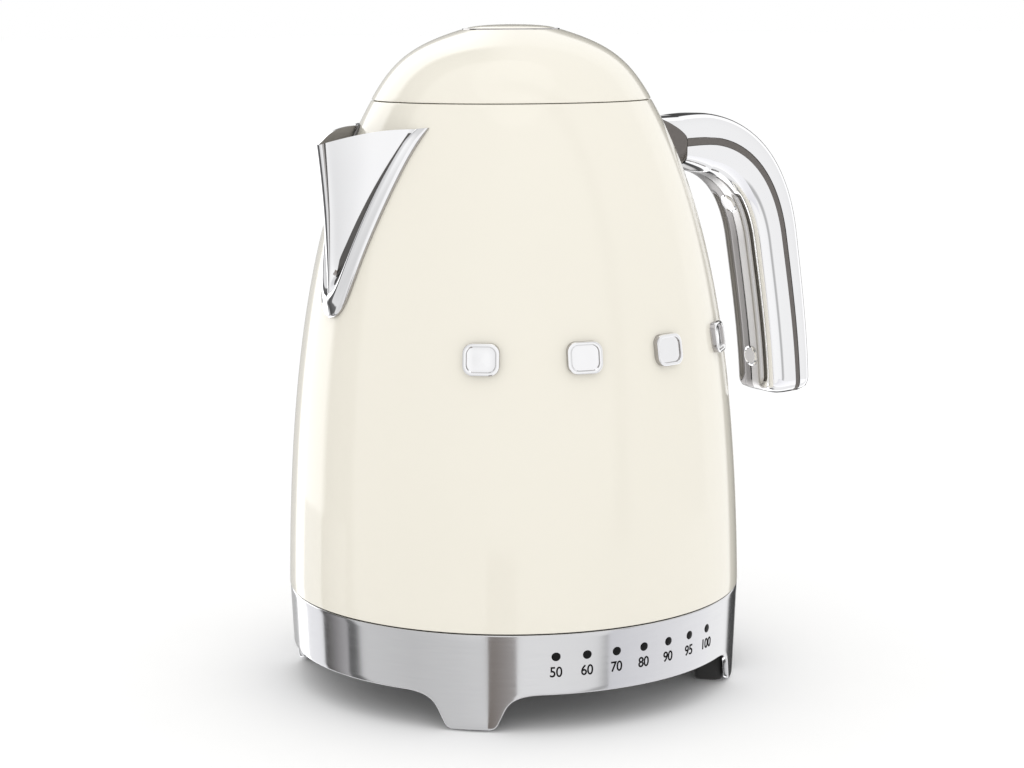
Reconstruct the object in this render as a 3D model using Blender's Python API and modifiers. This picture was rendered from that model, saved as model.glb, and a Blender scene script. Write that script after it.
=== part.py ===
"""Electric kettle: a jug with a hinged dome lid, a V-shaped spout and a C-shaped handle, on a swivel base.

All sizes below are in millimetres and meshes are made in metres, +Z up. Pieces are modelled in the
kettle's frame: the jug's axis at x = y = 0, the floor at z = 0, the spout towards -X, the handle
towards +X and the base's scale towards -Y. A root empty moves that frame so that the part's origin
is under the middle of its bounding box.
"""

import math

import bmesh
import bpy
from mathutils import Matrix, Vector

MM = 0.001
GAP = 0.3                          # clearance between pieces that rest on each other
STEPS, INNER_STEPS, SMALL_STEPS = 40, 28, 16      # sides of turned pieces: outer, inner and small

# Jug outline, as (radius, height) control points of two cubic curves.
BODY_CURVE = [(86.5, 36.5), (84.9, 138.8), (70.3, 188.6), (52.5, 219.6)]
DOME_CURVE = [(52.4, 220.1), (44.3, 234.4), (36.9, 240.1), (18.6, 245.6)]
BODY_WALL, LID_WALL = 1.0, 1.3
MOUTH_RADIUS = 46.3

# Power base.
BASE_TURN = math.radians(1.2)      # how far the base stands turned under the jug
BASE_RADIUS, SKIRT_RADIUS, BASE_WALL = 86.3, 85.4, 2.0
BASE_TOP, SKIRT_BOTTOM, LEG_BOTTOM = 36.1, 13.8, 0.9
LEG_ANGLES = [math.radians(45 + 90 * i) for i in range(4)]
LEG_SIDE = [(8.9, 0.0), (8.9, 0.9), (12.4, 8.0), (13.8, 10.6), (16.4, 12.7), (20.0, 13.6),
            (26.0, 13.8)]            # distance from the leg's middle, height
PLATE_TOP = 35.2                   # top face of the plate that the jug stands on
GLIDE_TOP = 35.5
SCREW_ANGLES = [math.radians(a) for a in (13, 133, 253)]
LAMP_HEIGHT, LAMP_RADIUS = 28.3, 1.35
LAMP_ANGLES = [math.radians(7.6 * i - 1.75) for i in range(-3, 4)]
LEVER_ANGLES = {"temperature": math.radians(86), "start": math.radians(110)}
LEVER_PIVOT = (76.0, 25.0)         # radius and height of the levers' hinges
LEVER_REACH, LEVER_BALL = 16.5, 3.6
GLAND_HEIGHT = 21.0

# Jug floor and its connector.
FLOOR_HEIGHT = 52.0
SPIGOT_RADIUS, SPIGOT_TOP, SOCKET_RADIUS = 11.0, 48.0, 12.0

# Spout.
NOSE_FOOT, NOSE_TOP, NOSE_BOW = (79.4, 146.0), (83.0, 205.9), 2.2
NOSE_HALF_WIDTH = 1.0
SPOUT_WALL = 1.3
TRIM_OUTER = [(24.4, 209.6), (7.6, 147.5), (4.0, 143.6), (0.0, 142.8)]   # half width, height
TRIM_INNER = [(18.4, 208.6), (1.6, 149.5)]
TRIM_RISE = 2.6
OPENING = [(14.0, 202.0), (3.0, 164.0)]

# Handle: the path of its dark core in the XZ plane, as cubic curves.
HANDLE_PATH = [[(73.8, 201.5), (78, 201.7), (84, 201.9), (88, 201.4)],
               [(88, 201.4), (103.5, 199.5), (118.6, 188), (123.2, 162.1)],
               [(123.2, 162.1), (126.7, 142.4), (131.2, 118), (131.9, 97.4)]]
HANDLE_HALF_WIDTH, HANDLE_WALL = 13.0, 1.6
CORE_THICKNESS = (3.0, 2.0)        # at the root and at the free end
OUTER_DEPTHS, INNER_DEPTHS = (8.5, 9.6, 7.8), (7.0, 11.8, 12.4)   # root, bend, free end
COLLAR_FRONT, COLLAR_TOP, COLLAR_BOTTOM = 73.5, 211.6, 193.2
CAP_RADIUS = 4.1
HANDLE_REACH = 140.7               # from the jug's axis to the handle's outermost point
CAP_POINTS = {"upper": (106.4, 176.6), "lower": (117.8, 111.4)}

# Lid.
HINGE = (55.0, 220.3)
PIN_RADIUS, KNUCKLE_RADIUS = 1.0, 2.2
LUG_FACES = (4.6, 6.6)
LEAF_SIDES = (-4.3, 0.6)
BUTTON_RADIUS, BUTTON_TOP = 16.9, 248.0
LINER_BOTTOM, LINER_TOP, GUIDE_TOP = 221.0, 222.5, 232.0
LATCH_TOE = 46.0

BADGE_ANGLES = [math.radians(a) for a in (-41, -15, 10.5, 38)]
BADGE_SIZE, BADGE_HEIGHT = (7.0, 13.0, 12.0), 133.0
WINDOW = (5.0, 72.0, 152.0)        # half width, bottom, top

COLOURS = {                        # linear colour, roughness, metallic
    "cream_paint": ((0.86, 0.83, 0.72), 0.15, 0.0),
    "polished_metal": ((0.80, 0.80, 0.82), 0.08, 1.0),
    "satin_metal": ((0.66, 0.66, 0.68), 0.25, 1.0),
    "dark_plastic": ((0.10, 0.095, 0.09), 0.45, 0.0),
    "black_plastic": ((0.02, 0.02, 0.02), 0.5, 0.0),
    "rubber": ((0.03, 0.03, 0.03), 0.8, 0.0),
    "silicone": ((0.75, 0.75, 0.73), 0.6, 0.0),
    "clear_plastic": ((0.70, 0.80, 0.85), 0.1, 0.0),
    "circuit_board": ((0.02, 0.18, 0.06), 0.5, 0.0),
}


# ------------------------------------------------------------------ making objects

def new_collection(name):
    collection = bpy.data.collections.new(name)
    bpy.context.scene.collection.children.link(collection)
    return collection


def new_material(name, colour, roughness, metallic):
    made = bpy.data.materials.new(name)
    made.use_nodes = True
    shader = made.node_tree.nodes["Principled BSDF"]
    shader.inputs["Base Color"].default_value = (*colour, 1.0)
    shader.inputs["Roughness"].default_value = roughness
    shader.inputs["Metallic"].default_value = metallic
    return made


def new_empty(name, parent=None, location=(0, 0, 0), turn=0.0):
    empty = bpy.data.objects.new(name, None)
    PARTS.objects.link(empty)
    empty.parent = parent
    empty.location = Vector(location) * MM
    empty.rotation_euler.z = turn
    return empty


def place(name, mesh, material, parent, location=(0, 0, 0), rotation=(0, 0, 0)):
    """A piece, or a cutter where the material is None, placed in its parent's frame."""
    obj = bpy.data.objects.new(name, mesh)
    if material is None:
        CUTTERS.objects.link(obj)
        obj.hide_render = True
        obj.display_type = "WIRE"
    else:
        PARTS.objects.link(obj)
        mesh.materials.append(MATERIALS[material])
    obj.parent = parent
    obj.location = Vector(location) * MM
    obj.rotation_euler = rotation
    return obj


def on_pivot(obj, pivot):
    """Hangs a piece that is modelled in the kettle's frame on a pivot empty."""
    obj.parent = pivot
    obj.location = -pivot.location
    return obj


def boolean(obj, operation, *others):
    for other in others:
        modifier = obj.modifiers.new(f"{operation.lower()} {other.name}", "BOOLEAN")
        modifier.operation = operation
        modifier.solver = "EXACT"
        modifier.object = other
    return obj


def cut(obj, *cutters):
    return boolean(obj, "DIFFERENCE", *cutters)


def mesh_of(name, build):
    """A mesh made by build(bmesh), in millimetres, scaled to metres."""
    made = bmesh.new()
    build(made)
    bmesh.ops.scale(made, vec=(MM, MM, MM), verts=made.verts)
    bmesh.ops.recalc_face_normals(made, faces=made.faces)
    mesh = bpy.data.meshes.new(name)
    made.to_mesh(mesh)
    made.free()
    return mesh


def box(name, low, high):
    low, high = Vector(low), Vector(high)
    matrix = Matrix.Translation((low + high) / 2) @ Matrix.Diagonal((*(high - low), 1))
    return mesh_of(name, lambda made: bmesh.ops.create_cube(made, size=1, matrix=matrix))


def rods(name, radius, ends, segments=SMALL_STEPS):
    """One mesh with a round rod between each pair of points."""
    def build(made):
        for start, end in ends:
            start, end = Vector(start), Vector(end)
            turn = (end - start).to_track_quat("Z", "Y").to_matrix().to_4x4()
            bmesh.ops.create_cone(made, cap_ends=True, segments=segments, radius1=radius,
                                  radius2=radius, depth=(end - start).length,
                                  matrix=Matrix.Translation((start + end) / 2) @ turn)
    mesh = mesh_of(name, build)
    mesh.shade_smooth()
    mesh.set_sharp_from_angle(angle=math.radians(40))
    return mesh


def loft(name, sections):
    """A closed solid through sections that have the same number of points."""
    def build(made):
        rings = [[made.verts.new(point) for point in section] for section in sections]
        count = len(rings[0])
        for lower, upper in zip(rings, rings[1:]):
            for i in range(count):
                j = (i + 1) % count
                made.faces.new((lower[i], lower[j], upper[j], upper[i]))
        made.faces.new(rings[0])
        made.faces.new(rings[-1])
    return mesh_of(name, build)


def prism_along_x(name, outline, start, end):
    """A solid with an outline of (y, z) points, between two values of x."""
    return loft(name, [[(x, y, z) for y, z in outline] for x in (start, end)])


def turned(name, outline, material, parent, steps=STEPS, location=(0, 0, 0), rotation=(0, 0, 0)):
    """A turned piece. The (radius, height) outline runs down its outer side, and closes on itself
    unless it starts on the axis."""
    mesh = bpy.data.meshes.new(name)
    count = len(outline)
    last = count - 1 if outline[0][0] == 0 else count
    edges = [(i, (i + 1) % count) for i in range(last)]
    mesh.from_pydata([(radius * MM, 0, height * MM) for radius, height in outline], edges, [])
    obj = place(name, mesh, material, parent, location, rotation)
    screw = obj.modifiers.new("turn", "SCREW")
    screw.steps = screw.render_steps = steps
    screw.use_merge_vertices = True
    screw.merge_threshold = 0.00001
    screw.use_smooth_shade = True
    return obj


def tube(name, path, radius, material, parent, sides=2):
    """A bent rod along a list of points, with filled ends."""
    curve = bpy.data.curves.new(name, "CURVE")
    curve.dimensions = "3D"
    curve.bevel_depth = radius * MM
    curve.bevel_resolution = sides
    curve.use_fill_caps = True
    spline = curve.splines.new("POLY")
    spline.points.add(len(path) - 1)
    for point, place_on_path in zip(spline.points, path):
        point.co = (*(Vector(place_on_path) * MM), 1)
    obj = place(name, curve, material, parent)
    return obj


def spring(name, centre, axis, radius, wire, length, turns, parent):
    """A helical spring along X, Y or Z from a centre at its start."""
    count = 8 * turns
    path = []
    for i in range(count + 1):
        angle = 2 * math.pi * i / 8
        around = (radius * math.cos(angle), radius * math.sin(angle))
        along = length * i / count
        offset = {"X": (along, *around), "Y": (around[0], along, around[1]),
                  "Z": (*around, along)}[axis]
        path.append(Vector(centre) + Vector(offset))
    return tube(name, path, wire, "satin_metal", parent)


# ------------------------------------------------------------------ outlines

def cubic(controls, t):
    a, b, c, d = (Vector(p) for p in controls)
    s = 1 - t
    return s ** 3 * a + 3 * s * s * t * b + 3 * s * t * t * c + t ** 3 * d


def curve_points(controls, count):
    return [cubic(controls, i / count) for i in range(count + 1)]


def moved_inwards(outline, distance):
    """A (radius, height) outline that runs upwards, moved towards the axis along its normals."""
    moved = []
    for i, point in enumerate(outline):
        along = (outline[min(i + 1, len(outline) - 1)] - outline[max(i - 1, 0)]).normalized()
        moved.append(point + distance * Vector((-along.y, along.x)))
    return moved


def body_radius(height):
    """Outer radius of the jug at a height."""
    low, high = 0.0, 1.0
    for _ in range(30):
        middle = (low + high) / 2
        low, high = (middle, high) if cubic(BODY_CURVE, middle).y < height else (low, middle)
    return cubic(BODY_CURVE, low).x


def on_circle(radius, angle, height):
    """A point at an angle from -Y towards +X."""
    return (radius * math.sin(angle), -radius * math.cos(angle), height)


def widths(samples, height):
    """Half width at a height, straight between samples of (half width, height) that run down."""
    for (upper, top), (lower, bottom) in zip(samples, samples[1:]):
        if height >= bottom:
            return lower + (upper - lower) * (height - bottom) / (top - bottom)
    return samples[-1][0]


def mirrored(outline):
    """A closed outline from its half on the side of +Y, which runs from the top down."""
    return outline + [(-y, z) for y, z in reversed(outline) if y > 0]


# ------------------------------------------------------------------ base

def make_base_housing(base):
    wall = [(BASE_RADIUS - 0.5, BASE_TOP), (BASE_RADIUS, BASE_TOP - 0.5),
            (SKIRT_RADIUS, SKIRT_BOTTOM), (SKIRT_RADIUS - 0.5, LEG_BOTTOM)]
    inside = [(radius - BASE_WALL, height) for radius, height in reversed(wall)]
    inside[-1] = (BASE_RADIUS - BASE_WALL, BASE_TOP)
    housing = turned("base_housing", wall + inside, "satin_metal", base)
    cut(housing, *[gap_between_legs(base, i) for i in range(4)])
    lamp_holes = place("lamp_holes", rods("lamp_holes", LAMP_RADIUS + GAP, lamp_axes(80, 90), 12),
                       None, base)
    gland_axis = ((0, 78, GLAND_HEIGHT), (0, 92, GLAND_HEIGHT))
    gland_hole = place("gland_hole", rods("gland_hole", 4.3, [gland_axis]), None, base)
    cut(housing, lamp_holes, gland_hole)
    for name, angle in LEVER_ANGLES.items():
        slot = box(f"{name}_slot", (80, -2.6, LEVER_PIVOT[1] - 6.5), (92, 2.6, LEVER_PIVOT[1] + 3.2))
        cut(housing, place(f"{name}_slot", slot, None, base, rotation=(0, 0, angle - math.pi / 2)))


def gap_between_legs(base, index):
    """Cutter between two legs, with a slant and a fillet up each leg's side."""
    side = [(BASE_RADIUS * math.sin(math.pi / 4 - distance / BASE_RADIUS), height)
            for distance, height in LEG_SIDE]
    outline = mirrored([(y, z) for y, z in reversed(side)] + [(side[0][0], -5)])
    name = f"leg_gap_{index + 1}"
    return place(name, prism_along_x(name, outline, 55, 95), None, base,
                 rotation=(0, 0, index * math.pi / 2))


def lamp_axes(start, end):
    return [(on_circle(start, angle, LAMP_HEIGHT), on_circle(end, angle, LAMP_HEIGHT))
            for angle in LAMP_ANGLES]


def make_base_plates(base):
    turned("base_top_plate", [
        (83.6, PLATE_TOP), (83.6, 32), (11.6, 32), (11.6, PLATE_TOP), (59.7, PLATE_TOP),
        (59.7, 33.7), (66.3, 33.7), (66.3, PLATE_TOP)], "black_plastic", base, INNER_STEPS)
    turned("base_bottom_cover", [(82.6, 16), (82.6, 14), (4, 14), (4, 16)], "black_plastic", base,
           INNER_STEPS)
    turned("base_connector", [
        (SPIGOT_RADIUS - 1, SPIGOT_TOP), (SPIGOT_RADIUS, SPIGOT_TOP - 1), (SPIGOT_RADIUS, 31.7),
        (20, 31.7), (20, 26), (2.5, 26), (2.5, SPIGOT_TOP)], "black_plastic", base, steps=24)


def make_feet(base):
    for i, angle in enumerate(LEG_ANGLES):
        pad = place(f"foot_pad_{i + 1}", box("foot_pad", (71, -8.2, 0), (81.8, 8.2, 13.7)),
                    "rubber", base, rotation=(0, 0, angle))
        bevel = pad.modifiers.new("rounded", "BEVEL")
        bevel.width = 1.2 * MM
        bevel.segments = 2
    for i, angle in enumerate(SCREW_ANGLES):
        centre = on_circle(58, angle, 0)
        outline = [(0, 13.7), (3.2, 13.7), (3.2, 12.6), (1.2, 12.2), (0, 12.2)]
        turned(f"base_screw_{i + 1}", outline, "satin_metal", base, 12, location=centre)


def make_base_electrics(base):
    guide_bar = turned("light_guide", [(80.6, 30.3), (80.6, 26.3), (79.0, 26.3), (79.0, 30.3)],
                       "black_plastic", base)
    window = place("light_guide_length", box("light_guide_length", (-34.5, -85, 20), (34.5, -60, 40)),
                   None, base)
    boolean(guide_bar, "INTERSECT", window)
    pins = place("light_pins", rods("light_pins", LAMP_RADIUS, lamp_axes(79.8, 86.1), 12), None, base)
    boolean(guide_bar, "UNION", pins)
    place("control_board", box("control_board", (-30, -69.5, 17), (30, -67.9, 31)),
          "circuit_board", base)
    turned("cord_gland", [(4, 6.9), (4, 0), (2.2, 0), (2.2, 6.9)], "rubber", base, 16,
           location=(0, 79.2, GLAND_HEIGHT), rotation=(-math.pi / 2, 0, 0))


def make_levers(base):
    """Two small ball levers that press down, each on a pin across its bracket."""
    for name, angle in LEVER_ANGLES.items():
        pivot = new_empty(f"{name}_lever_pivot", base, on_circle(LEVER_PIVOT[0], angle, LEVER_PIVOT[1]),
                          angle - math.pi / 2)
        ball = [(0, LEVER_REACH + LEVER_BALL)]
        for i in range(1, 6):
            turn = math.radians(30 * i)
            ball.append((LEVER_BALL * math.sin(turn), LEVER_REACH + LEVER_BALL * math.cos(turn)))
        arm = ball + [(1.4, 1.5), (0, 1.5)]
        lever = turned(f"{name}_lever", arm, "polished_metal", pivot, 12,
                       rotation=(0, math.pi / 2, 0))
        hub = place(f"{name}_hub", rods("hub", 3.0, [((0, -2.2, 0), (0, 2.2, 0))]), None, pivot)
        bore = place(f"{name}_bore", rods("bore", 1.1, [((0, -9, 0), (0, 9, 0))]), None, pivot)
        cut(boolean(lever, "UNION", hub), bore)
        place(f"{name}_lever_pin", rods("lever_pin", 0.8, [((0, -5, 0), (0, 5, 0))], 12),
              "satin_metal", base, pivot.location / MM, pivot.rotation_euler)
        make_lever_bracket(name, base, pivot, bore)


def make_lever_bracket(name, base, pivot, bore):
    """A U-shaped bracket that stands on the bottom cover."""
    height = LEVER_PIVOT[1]
    bracket = place(f"{name}_lever_bracket", box("bracket", (-4, -4.6, 16.3 - height), (3.6, 4.6, 4)),
                    "black_plastic", base, pivot.location / MM, pivot.rotation_euler)
    slot = place(f"{name}_bracket_slot", box("slot", (-6, -2.6, -5), (6, 2.6, 6)), None, pivot)
    cut(bracket, slot, bore)


# ------------------------------------------------------------------ jug

def body_space(jug, clearance=GAP):
    """Cutter with the jug's outer shape, which leaves a clearance to the jug."""
    outline = [(radius + clearance, height) for radius, height in
               reversed(curve_points(BODY_CURVE, 10))]
    outline = [(0, outline[0][1])] + outline + [(0, outline[-1][1])]
    return turned("body_space", outline, None, jug)


def make_body_shell(jug):
    outer = curve_points(BODY_CURVE, 10)
    inner = moved_inwards(outer, BODY_WALL)
    inner[0] = Vector((outer[0].x - BODY_WALL, outer[0].y))
    inner[-1] = Vector((MOUTH_RADIUS, outer[-1].y - BODY_WALL))
    outline = list(reversed(outer)) + inner + [Vector((MOUTH_RADIUS, outer[-1].y))]
    shell = turned("body_shell", outline, "cream_paint", jug)
    opening = prism_along_x("spout_opening", mirrored(OPENING), -90, -40)
    half, bottom, top = WINDOW
    slot = box("window_slot", (70, -half, bottom), (95, half, top))
    cut(shell, place("spout_opening", opening, None, jug), place("window_slot", slot, None, jug))


def make_water_window(jug):
    """A strip that follows the inside of the wall behind the slot under the handle."""
    outer = moved_inwards(curve_points(BODY_CURVE, 8), BODY_WALL + GAP)
    inner = moved_inwards(outer, 2.0)
    strip = turned("water_window", list(reversed(outer[1:7])) + inner[1:7], "clear_plastic", jug)
    half, bottom, top = WINDOW
    around = place("window_size", box("window_size", (60, -half - 2, bottom - 4), (95, half + 2, top + 4)),
                   None, jug)
    boolean(strip, "INTERSECT", around)


def make_jug_floor(jug):
    probe_hole = place("probe_hole", rods("probe_hole", 2.8, [((30, 0, 40), (30, 0, 60))]), None, jug)
    plate = turned("heater_plate", [(0, 53.2), (82.5, 53.2), (82.5, FLOOR_HEIGHT), (0, FLOOR_HEIGHT)],
                   "satin_metal", jug, INNER_STEPS)
    cut(plate, probe_hole)
    turned("plate_seal", [(84.7, 55), (84.7, 50.5), (82.8, 50.5), (82.8, 55)], "silicone", jug, INNER_STEPS)
    place("temperature_probe", rods("temperature_probe", 2.4, [((30, 0, 47), (30, 0, 60))]),
          "satin_metal", jug)
    around = [on_circle(54, math.radians(15 + 330 * i / 28), 47.6) for i in range(29)]
    tube("heating_element", around, 3.8, "satin_metal", jug)
    turned("jug_connector", [(0, 51.5), (24, 51.5), (24, 38.5), (SOCKET_RADIUS, 38.5),
                             (SOCKET_RADIUS, 49.2), (0, 49.2)], "black_plastic", jug, steps=24)
    cover = turned("jug_bottom_cover", [
        (85.1, 38.2), (85.1, 36.6), (83.3, 36.6), (83.3, GLIDE_TOP + GAP), (13, GLIDE_TOP + GAP),
        (13, 38.2)], "black_plastic", jug, INNER_STEPS)
    for i, angle in enumerate(SCREW_ANGLES):
        x, y, _ = on_circle(70, angle, 0)
        hole = place(f"cover_hole_{i + 1}", rods("cover_hole", 3.4, [((x, y, 30), (x, y, 40))], 12),
                     None, jug)
        cut(cover, hole)
        outline = [(0, 46), (1.5, 46), (1.5, 38), (3.0, 37.4), (3.0, 36.2), (0, 36.2)]
        turned(f"cover_screw_{i + 1}", outline, "satin_metal", jug, 12, location=(x, y, 0))


# ------------------------------------------------------------------ spout

def nose_radius(height):
    rise = max(0.0, (height - NOSE_FOOT[1]) / (NOSE_TOP[1] - NOSE_FOOT[1]))
    return NOSE_FOOT[0] + (NOSE_TOP[0] - NOSE_FOOT[0]) * rise ** NOSE_BOW


def wedge(name, inset, bottom, lift):
    """The V-shaped solid between the jug and the spout's nose, drawn in by an inset."""
    sections = []
    for i in range(7):
        t = i / 6
        nose_height = bottom + (NOSE_TOP[1] + lift - bottom) * t
        nose = nose_radius(min(nose_height, NOSE_TOP[1])) - 1.6 * inset
        half_nose = max(NOSE_HALF_WIDTH - 0.5 * inset, 0.3)
        foot_height = bottom + (TRIM_INNER[0][1] + lift - bottom) * t
        half_foot = max(widths(TRIM_INNER, min(foot_height, TRIM_INNER[0][1])) - 3 * GAP - inset, 0.4)
        foot = math.sqrt(body_radius(foot_height) ** 2 - half_foot ** 2)
        spread = (half_foot - half_nose) / (nose - foot)
        deep = foot - 5
        half_deep = half_foot + 5 * spread
        deep_height = nose_height + (nose - deep) * (foot_height - nose_height) / (nose - foot)
        sections.append([(-nose, -half_nose, nose_height), (-nose, half_nose, nose_height),
                         (-deep, half_deep, deep_height), (-deep, -half_deep, deep_height)])
    return loft(name, sections)


def make_spout(jug, clear_of_body):
    spout = place("spout", wedge("spout", 0.0, 150.5, 0.0), "polished_metal", jug)
    passage = place("spout_passage", wedge("spout_passage", SPOUT_WALL, 160.0, 4.0), None, jug)
    cut(spout, clear_of_body, passage)
    rise = [(radius + GAP + TRIM_RISE, height) for radius, height in
            reversed(curve_points(BODY_CURVE, 10))]
    outline = [(0, rise[0][1])] + rise + [(0, rise[-1][1])]
    trim = turned("spout_trim", outline, "polished_metal", jug)
    band = place("trim_outline", prism_along_x("trim_outline", mirrored(TRIM_OUTER), -95, -40),
                 None, jug)
    hole = prism_along_x("trim_hole", mirrored([(18.4 + 1.4, 213.5)] + TRIM_INNER), -96, -39)
    cut(boolean(trim, "INTERSECT", band), place("trim_hole", hole, None, jug), clear_of_body)


def make_filter(jug):
    frame = place("filter_frame", box("filter_frame", (-49.5, -17, 160), (-46.5, 17, 205)),
                  "dark_plastic", jug)
    window = place("filter_window", box("filter_window", (-60, -14, 163), (-40, 14, 202)), None, jug)
    slot = place("filter_slot", box("filter_slot", (-48.5, -16, 161), (-47.5, 16, 210)), None, jug)
    cut(frame, window, slot)
    place("filter_mesh", box("filter_mesh", (-48.2, -15.6, 161.4), (-47.8, 15.6, 204.6)),
          "satin_metal", jug)


# ------------------------------------------------------------------ handle

def handle_stations(count=5):
    """Points and outward normals along the core's path, with how far along each is."""
    points = []
    for index, controls in enumerate(HANDLE_PATH):
        points += curve_points(controls, count)[(1 if index else 0):]
    stations = []
    for i, point in enumerate(points):
        along = (points[min(i + 1, len(points) - 1)] - points[max(i - 1, 0)]).normalized()
        stations.append((point, Vector((-along.y, along.x)), i / (len(points) - 1)))
    return stations


def blend(values, t):
    """A smooth value along the handle from those at its root, bend and free end."""
    start, middle, end = values
    return start + (middle - start) * min(1, 2 * t) if t < 0.5 else middle + (end - middle) * (2 * t - 1)


def shell_sections(depths, side):
    """Channel sections whose open side faces the core; side is 1 outside it and -1 inside."""
    sections = []
    for point, normal, t in handle_stations():
        depth = blend(depths, t)
        start = CORE_THICKNESS[0] / 2 + (CORE_THICKNESS[1] - CORE_THICKNESS[0]) / 2 * t + GAP
        section = []
        for wall, turns in ((0.0, range(0, 9)), (HANDLE_WALL, range(8, -1, -1))):
            for i in turns:
                angle = math.pi * i / 8
                across = (HANDLE_HALF_WIDTH - wall) * squared(math.cos(angle))
                out = start + (depth - wall) * squared(math.sin(angle))
                spot = point + side * out * normal
                section.append([spot.x, across, spot.y])
        if t == 0:
            for spot in section:
                spot[0] = collar_front(spot[2]) + GAP
        sections.append(section)
    return sections


def squared(value):
    """Draws a circle's coordinate out towards a rounded square."""
    return math.copysign(abs(value) ** 0.75, value)


def collar_front(height):
    """The collar's front face leans back above the core."""
    above = max(0.0, height - 203.0)
    return COLLAR_FRONT - 0.9 * above


def make_handle(jug, clear_of_body):
    place("handle_outer_shell", loft("handle_outer_shell", shell_sections(OUTER_DEPTHS, 1)),
          "polished_metal", jug)
    inner = place("handle_inner_shell", loft("handle_inner_shell", shell_sections(INNER_DEPTHS, -1)),
                  "polished_metal", jug)
    core = []
    for point, normal, t in handle_stations():
        half = (CORE_THICKNESS[0] + (CORE_THICKNESS[1] - CORE_THICKNESS[0]) * t) / 2
        corners = [(1, 1), (1, -1), (-1, -1), (-1, 1)]
        core.append([((point + side * half * normal).x, across * HANDLE_HALF_WIDTH,
                      (point + side * half * normal).y) for side, across in corners])
    place("handle_core", loft("handle_core", core), "dark_plastic", jug)
    make_screw_caps(jug, inner)
    make_collar(jug, clear_of_body)


def make_screw_caps(jug, inner):
    for name, (x, z) in CAP_POINTS.items():
        nearest = min(handle_stations(), key=lambda s: (s[0] - Vector((x, z))).length)
        inward = Vector((nearest[1].x, 0, nearest[1].y))
        centre = Vector((x, 0, z))
        ends = [(centre - 0.2 * inward, centre + 2.2 * inward)]
        place(f"screw_cap_{name}", rods("screw_cap", CAP_RADIUS, ends, 20), "polished_metal", jug)
        hole = place(f"cap_hole_{name}",
                     rods("cap_hole", CAP_RADIUS + GAP, [(centre - 5 * inward, centre + 5 * inward)], 20),
                     None, jug)
        cut(inner, hole)


def make_collar(jug, clear_of_body):
    """The dark piece between the jug and the handle's shells, and the screws that hold it."""
    middle, half_height = (COLLAR_TOP + COLLAR_BOTTOM) / 2, (COLLAR_TOP - COLLAR_BOTTOM) / 2
    outline = []
    for i in range(24):
        angle = 2 * math.pi * (i + 0.5) / 24
        outline.append((HANDLE_HALF_WIDTH * squared(math.cos(angle)),
                        middle + half_height * squared(math.sin(angle))))
    back = [(45, y, z) for y, z in outline]
    front = [(collar_front(z), y, z) for y, z in outline]
    collar = cut(place("handle_collar", loft("handle_collar", [back, front]), "dark_plastic", jug),
                 clear_of_body)
    shell = bpy.data.objects["body_shell"]
    for i, height in enumerate((197.5, 206.5)):
        head = body_radius(height + 4) - BODY_WALL - 0.6
        name = f"handle_screw_{i + 1}"
        hole = place(f"{name}_hole", rods("hole", 2.1, [((45, 0, height), (head + 11, 0, height))], 12),
                     None, jug)
        cut(collar, hole)
        cut(shell, hole)
        outline = [(0, 10.6), (1.8, 10.6), (1.8, 0), (3.2, 0), (3.2, -1.6), (2.2, -2.2), (0, -2.2)]
        turned(name, outline, "satin_metal", jug, 12, location=(head, 0, height),
               rotation=(0, math.pi / 2, 0))


# ------------------------------------------------------------------ ornament

def make_badges(jug, clear_of_body):
    for i, angle in enumerate(BADGE_ANGLES):
        depth, width, height = BADGE_SIZE
        badge = place(f"badge_{i + 1}", box("badge", (-depth, -width / 2, -height / 2),
                                            (0, width / 2, height / 2)), "polished_metal", jug,
                      on_circle(body_radius(BADGE_HEIGHT) + GAP + 2.2, angle, BADGE_HEIGHT),
                      (0, 0, angle - math.pi / 2))
        bevel = badge.modifiers.new("rounded", "BEVEL")
        bevel.width = 1.5 * MM
        bevel.segments = 2
        cut(badge, clear_of_body)


# ------------------------------------------------------------------ lid and its hinge

def make_hinge_bracket(jug, clear_of_body):
    x, z = HINGE
    near, far = LUG_FACES
    plate = box("hinge_bracket", (52.9, -far, 213.8), (x + KNUCKLE_RADIUS, far, z))
    bracket = place("hinge_bracket", plate, "polished_metal", jug)
    barrel = place("hinge_barrel", rods("barrel", KNUCKLE_RADIUS, [((x, -far, z), (x, far, z))]),
                   None, jug)
    between = place("hinge_between", box("between", (40, -near, z - KNUCKLE_RADIUS - 0.6),
                                         (70, near, z + 6)), None, jug)
    bore = place("hinge_bore", rods("bore", PIN_RADIUS + GAP, [((x, -20, z), (x, 20, z))]), None, jug)
    cut(boolean(bracket, "UNION", barrel), between, bore, clear_of_body)
    place("lid_hinge_pin", rods("lid_hinge_pin", PIN_RADIUS, [((x, -far - 0.8, z), (x, far + 0.8, z))]),
          "satin_metal", jug)
    spring("lid_spring", (x, LEAF_SIDES[1] + 0.6, z), "Y", 1.9, 0.3, 2.9, 3, jug)
    return bore


def make_lid(jug, bore):
    pivot = new_empty("lid_hinge", jug, (HINGE[0], 0, HINGE[1]))
    lid_parts = [make_lid_cover(jug), make_lid_liner(jug, bore)]
    lid_parts.append(turned("lid_seal", [(49.4, 220.7), (49.4, 219.9), (46.8, 219.9), (46.8, 220.7)],
                            "silicone", jug, INNER_STEPS))
    lid_parts.append(turned("button_ring", [
        (18.3, 245.9), (18.3, 240), (17.2, 240), (17.2, 245.9)], "polished_metal", jug, INNER_STEPS))
    for piece in lid_parts:
        on_pivot(piece, pivot)
    return pivot


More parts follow.
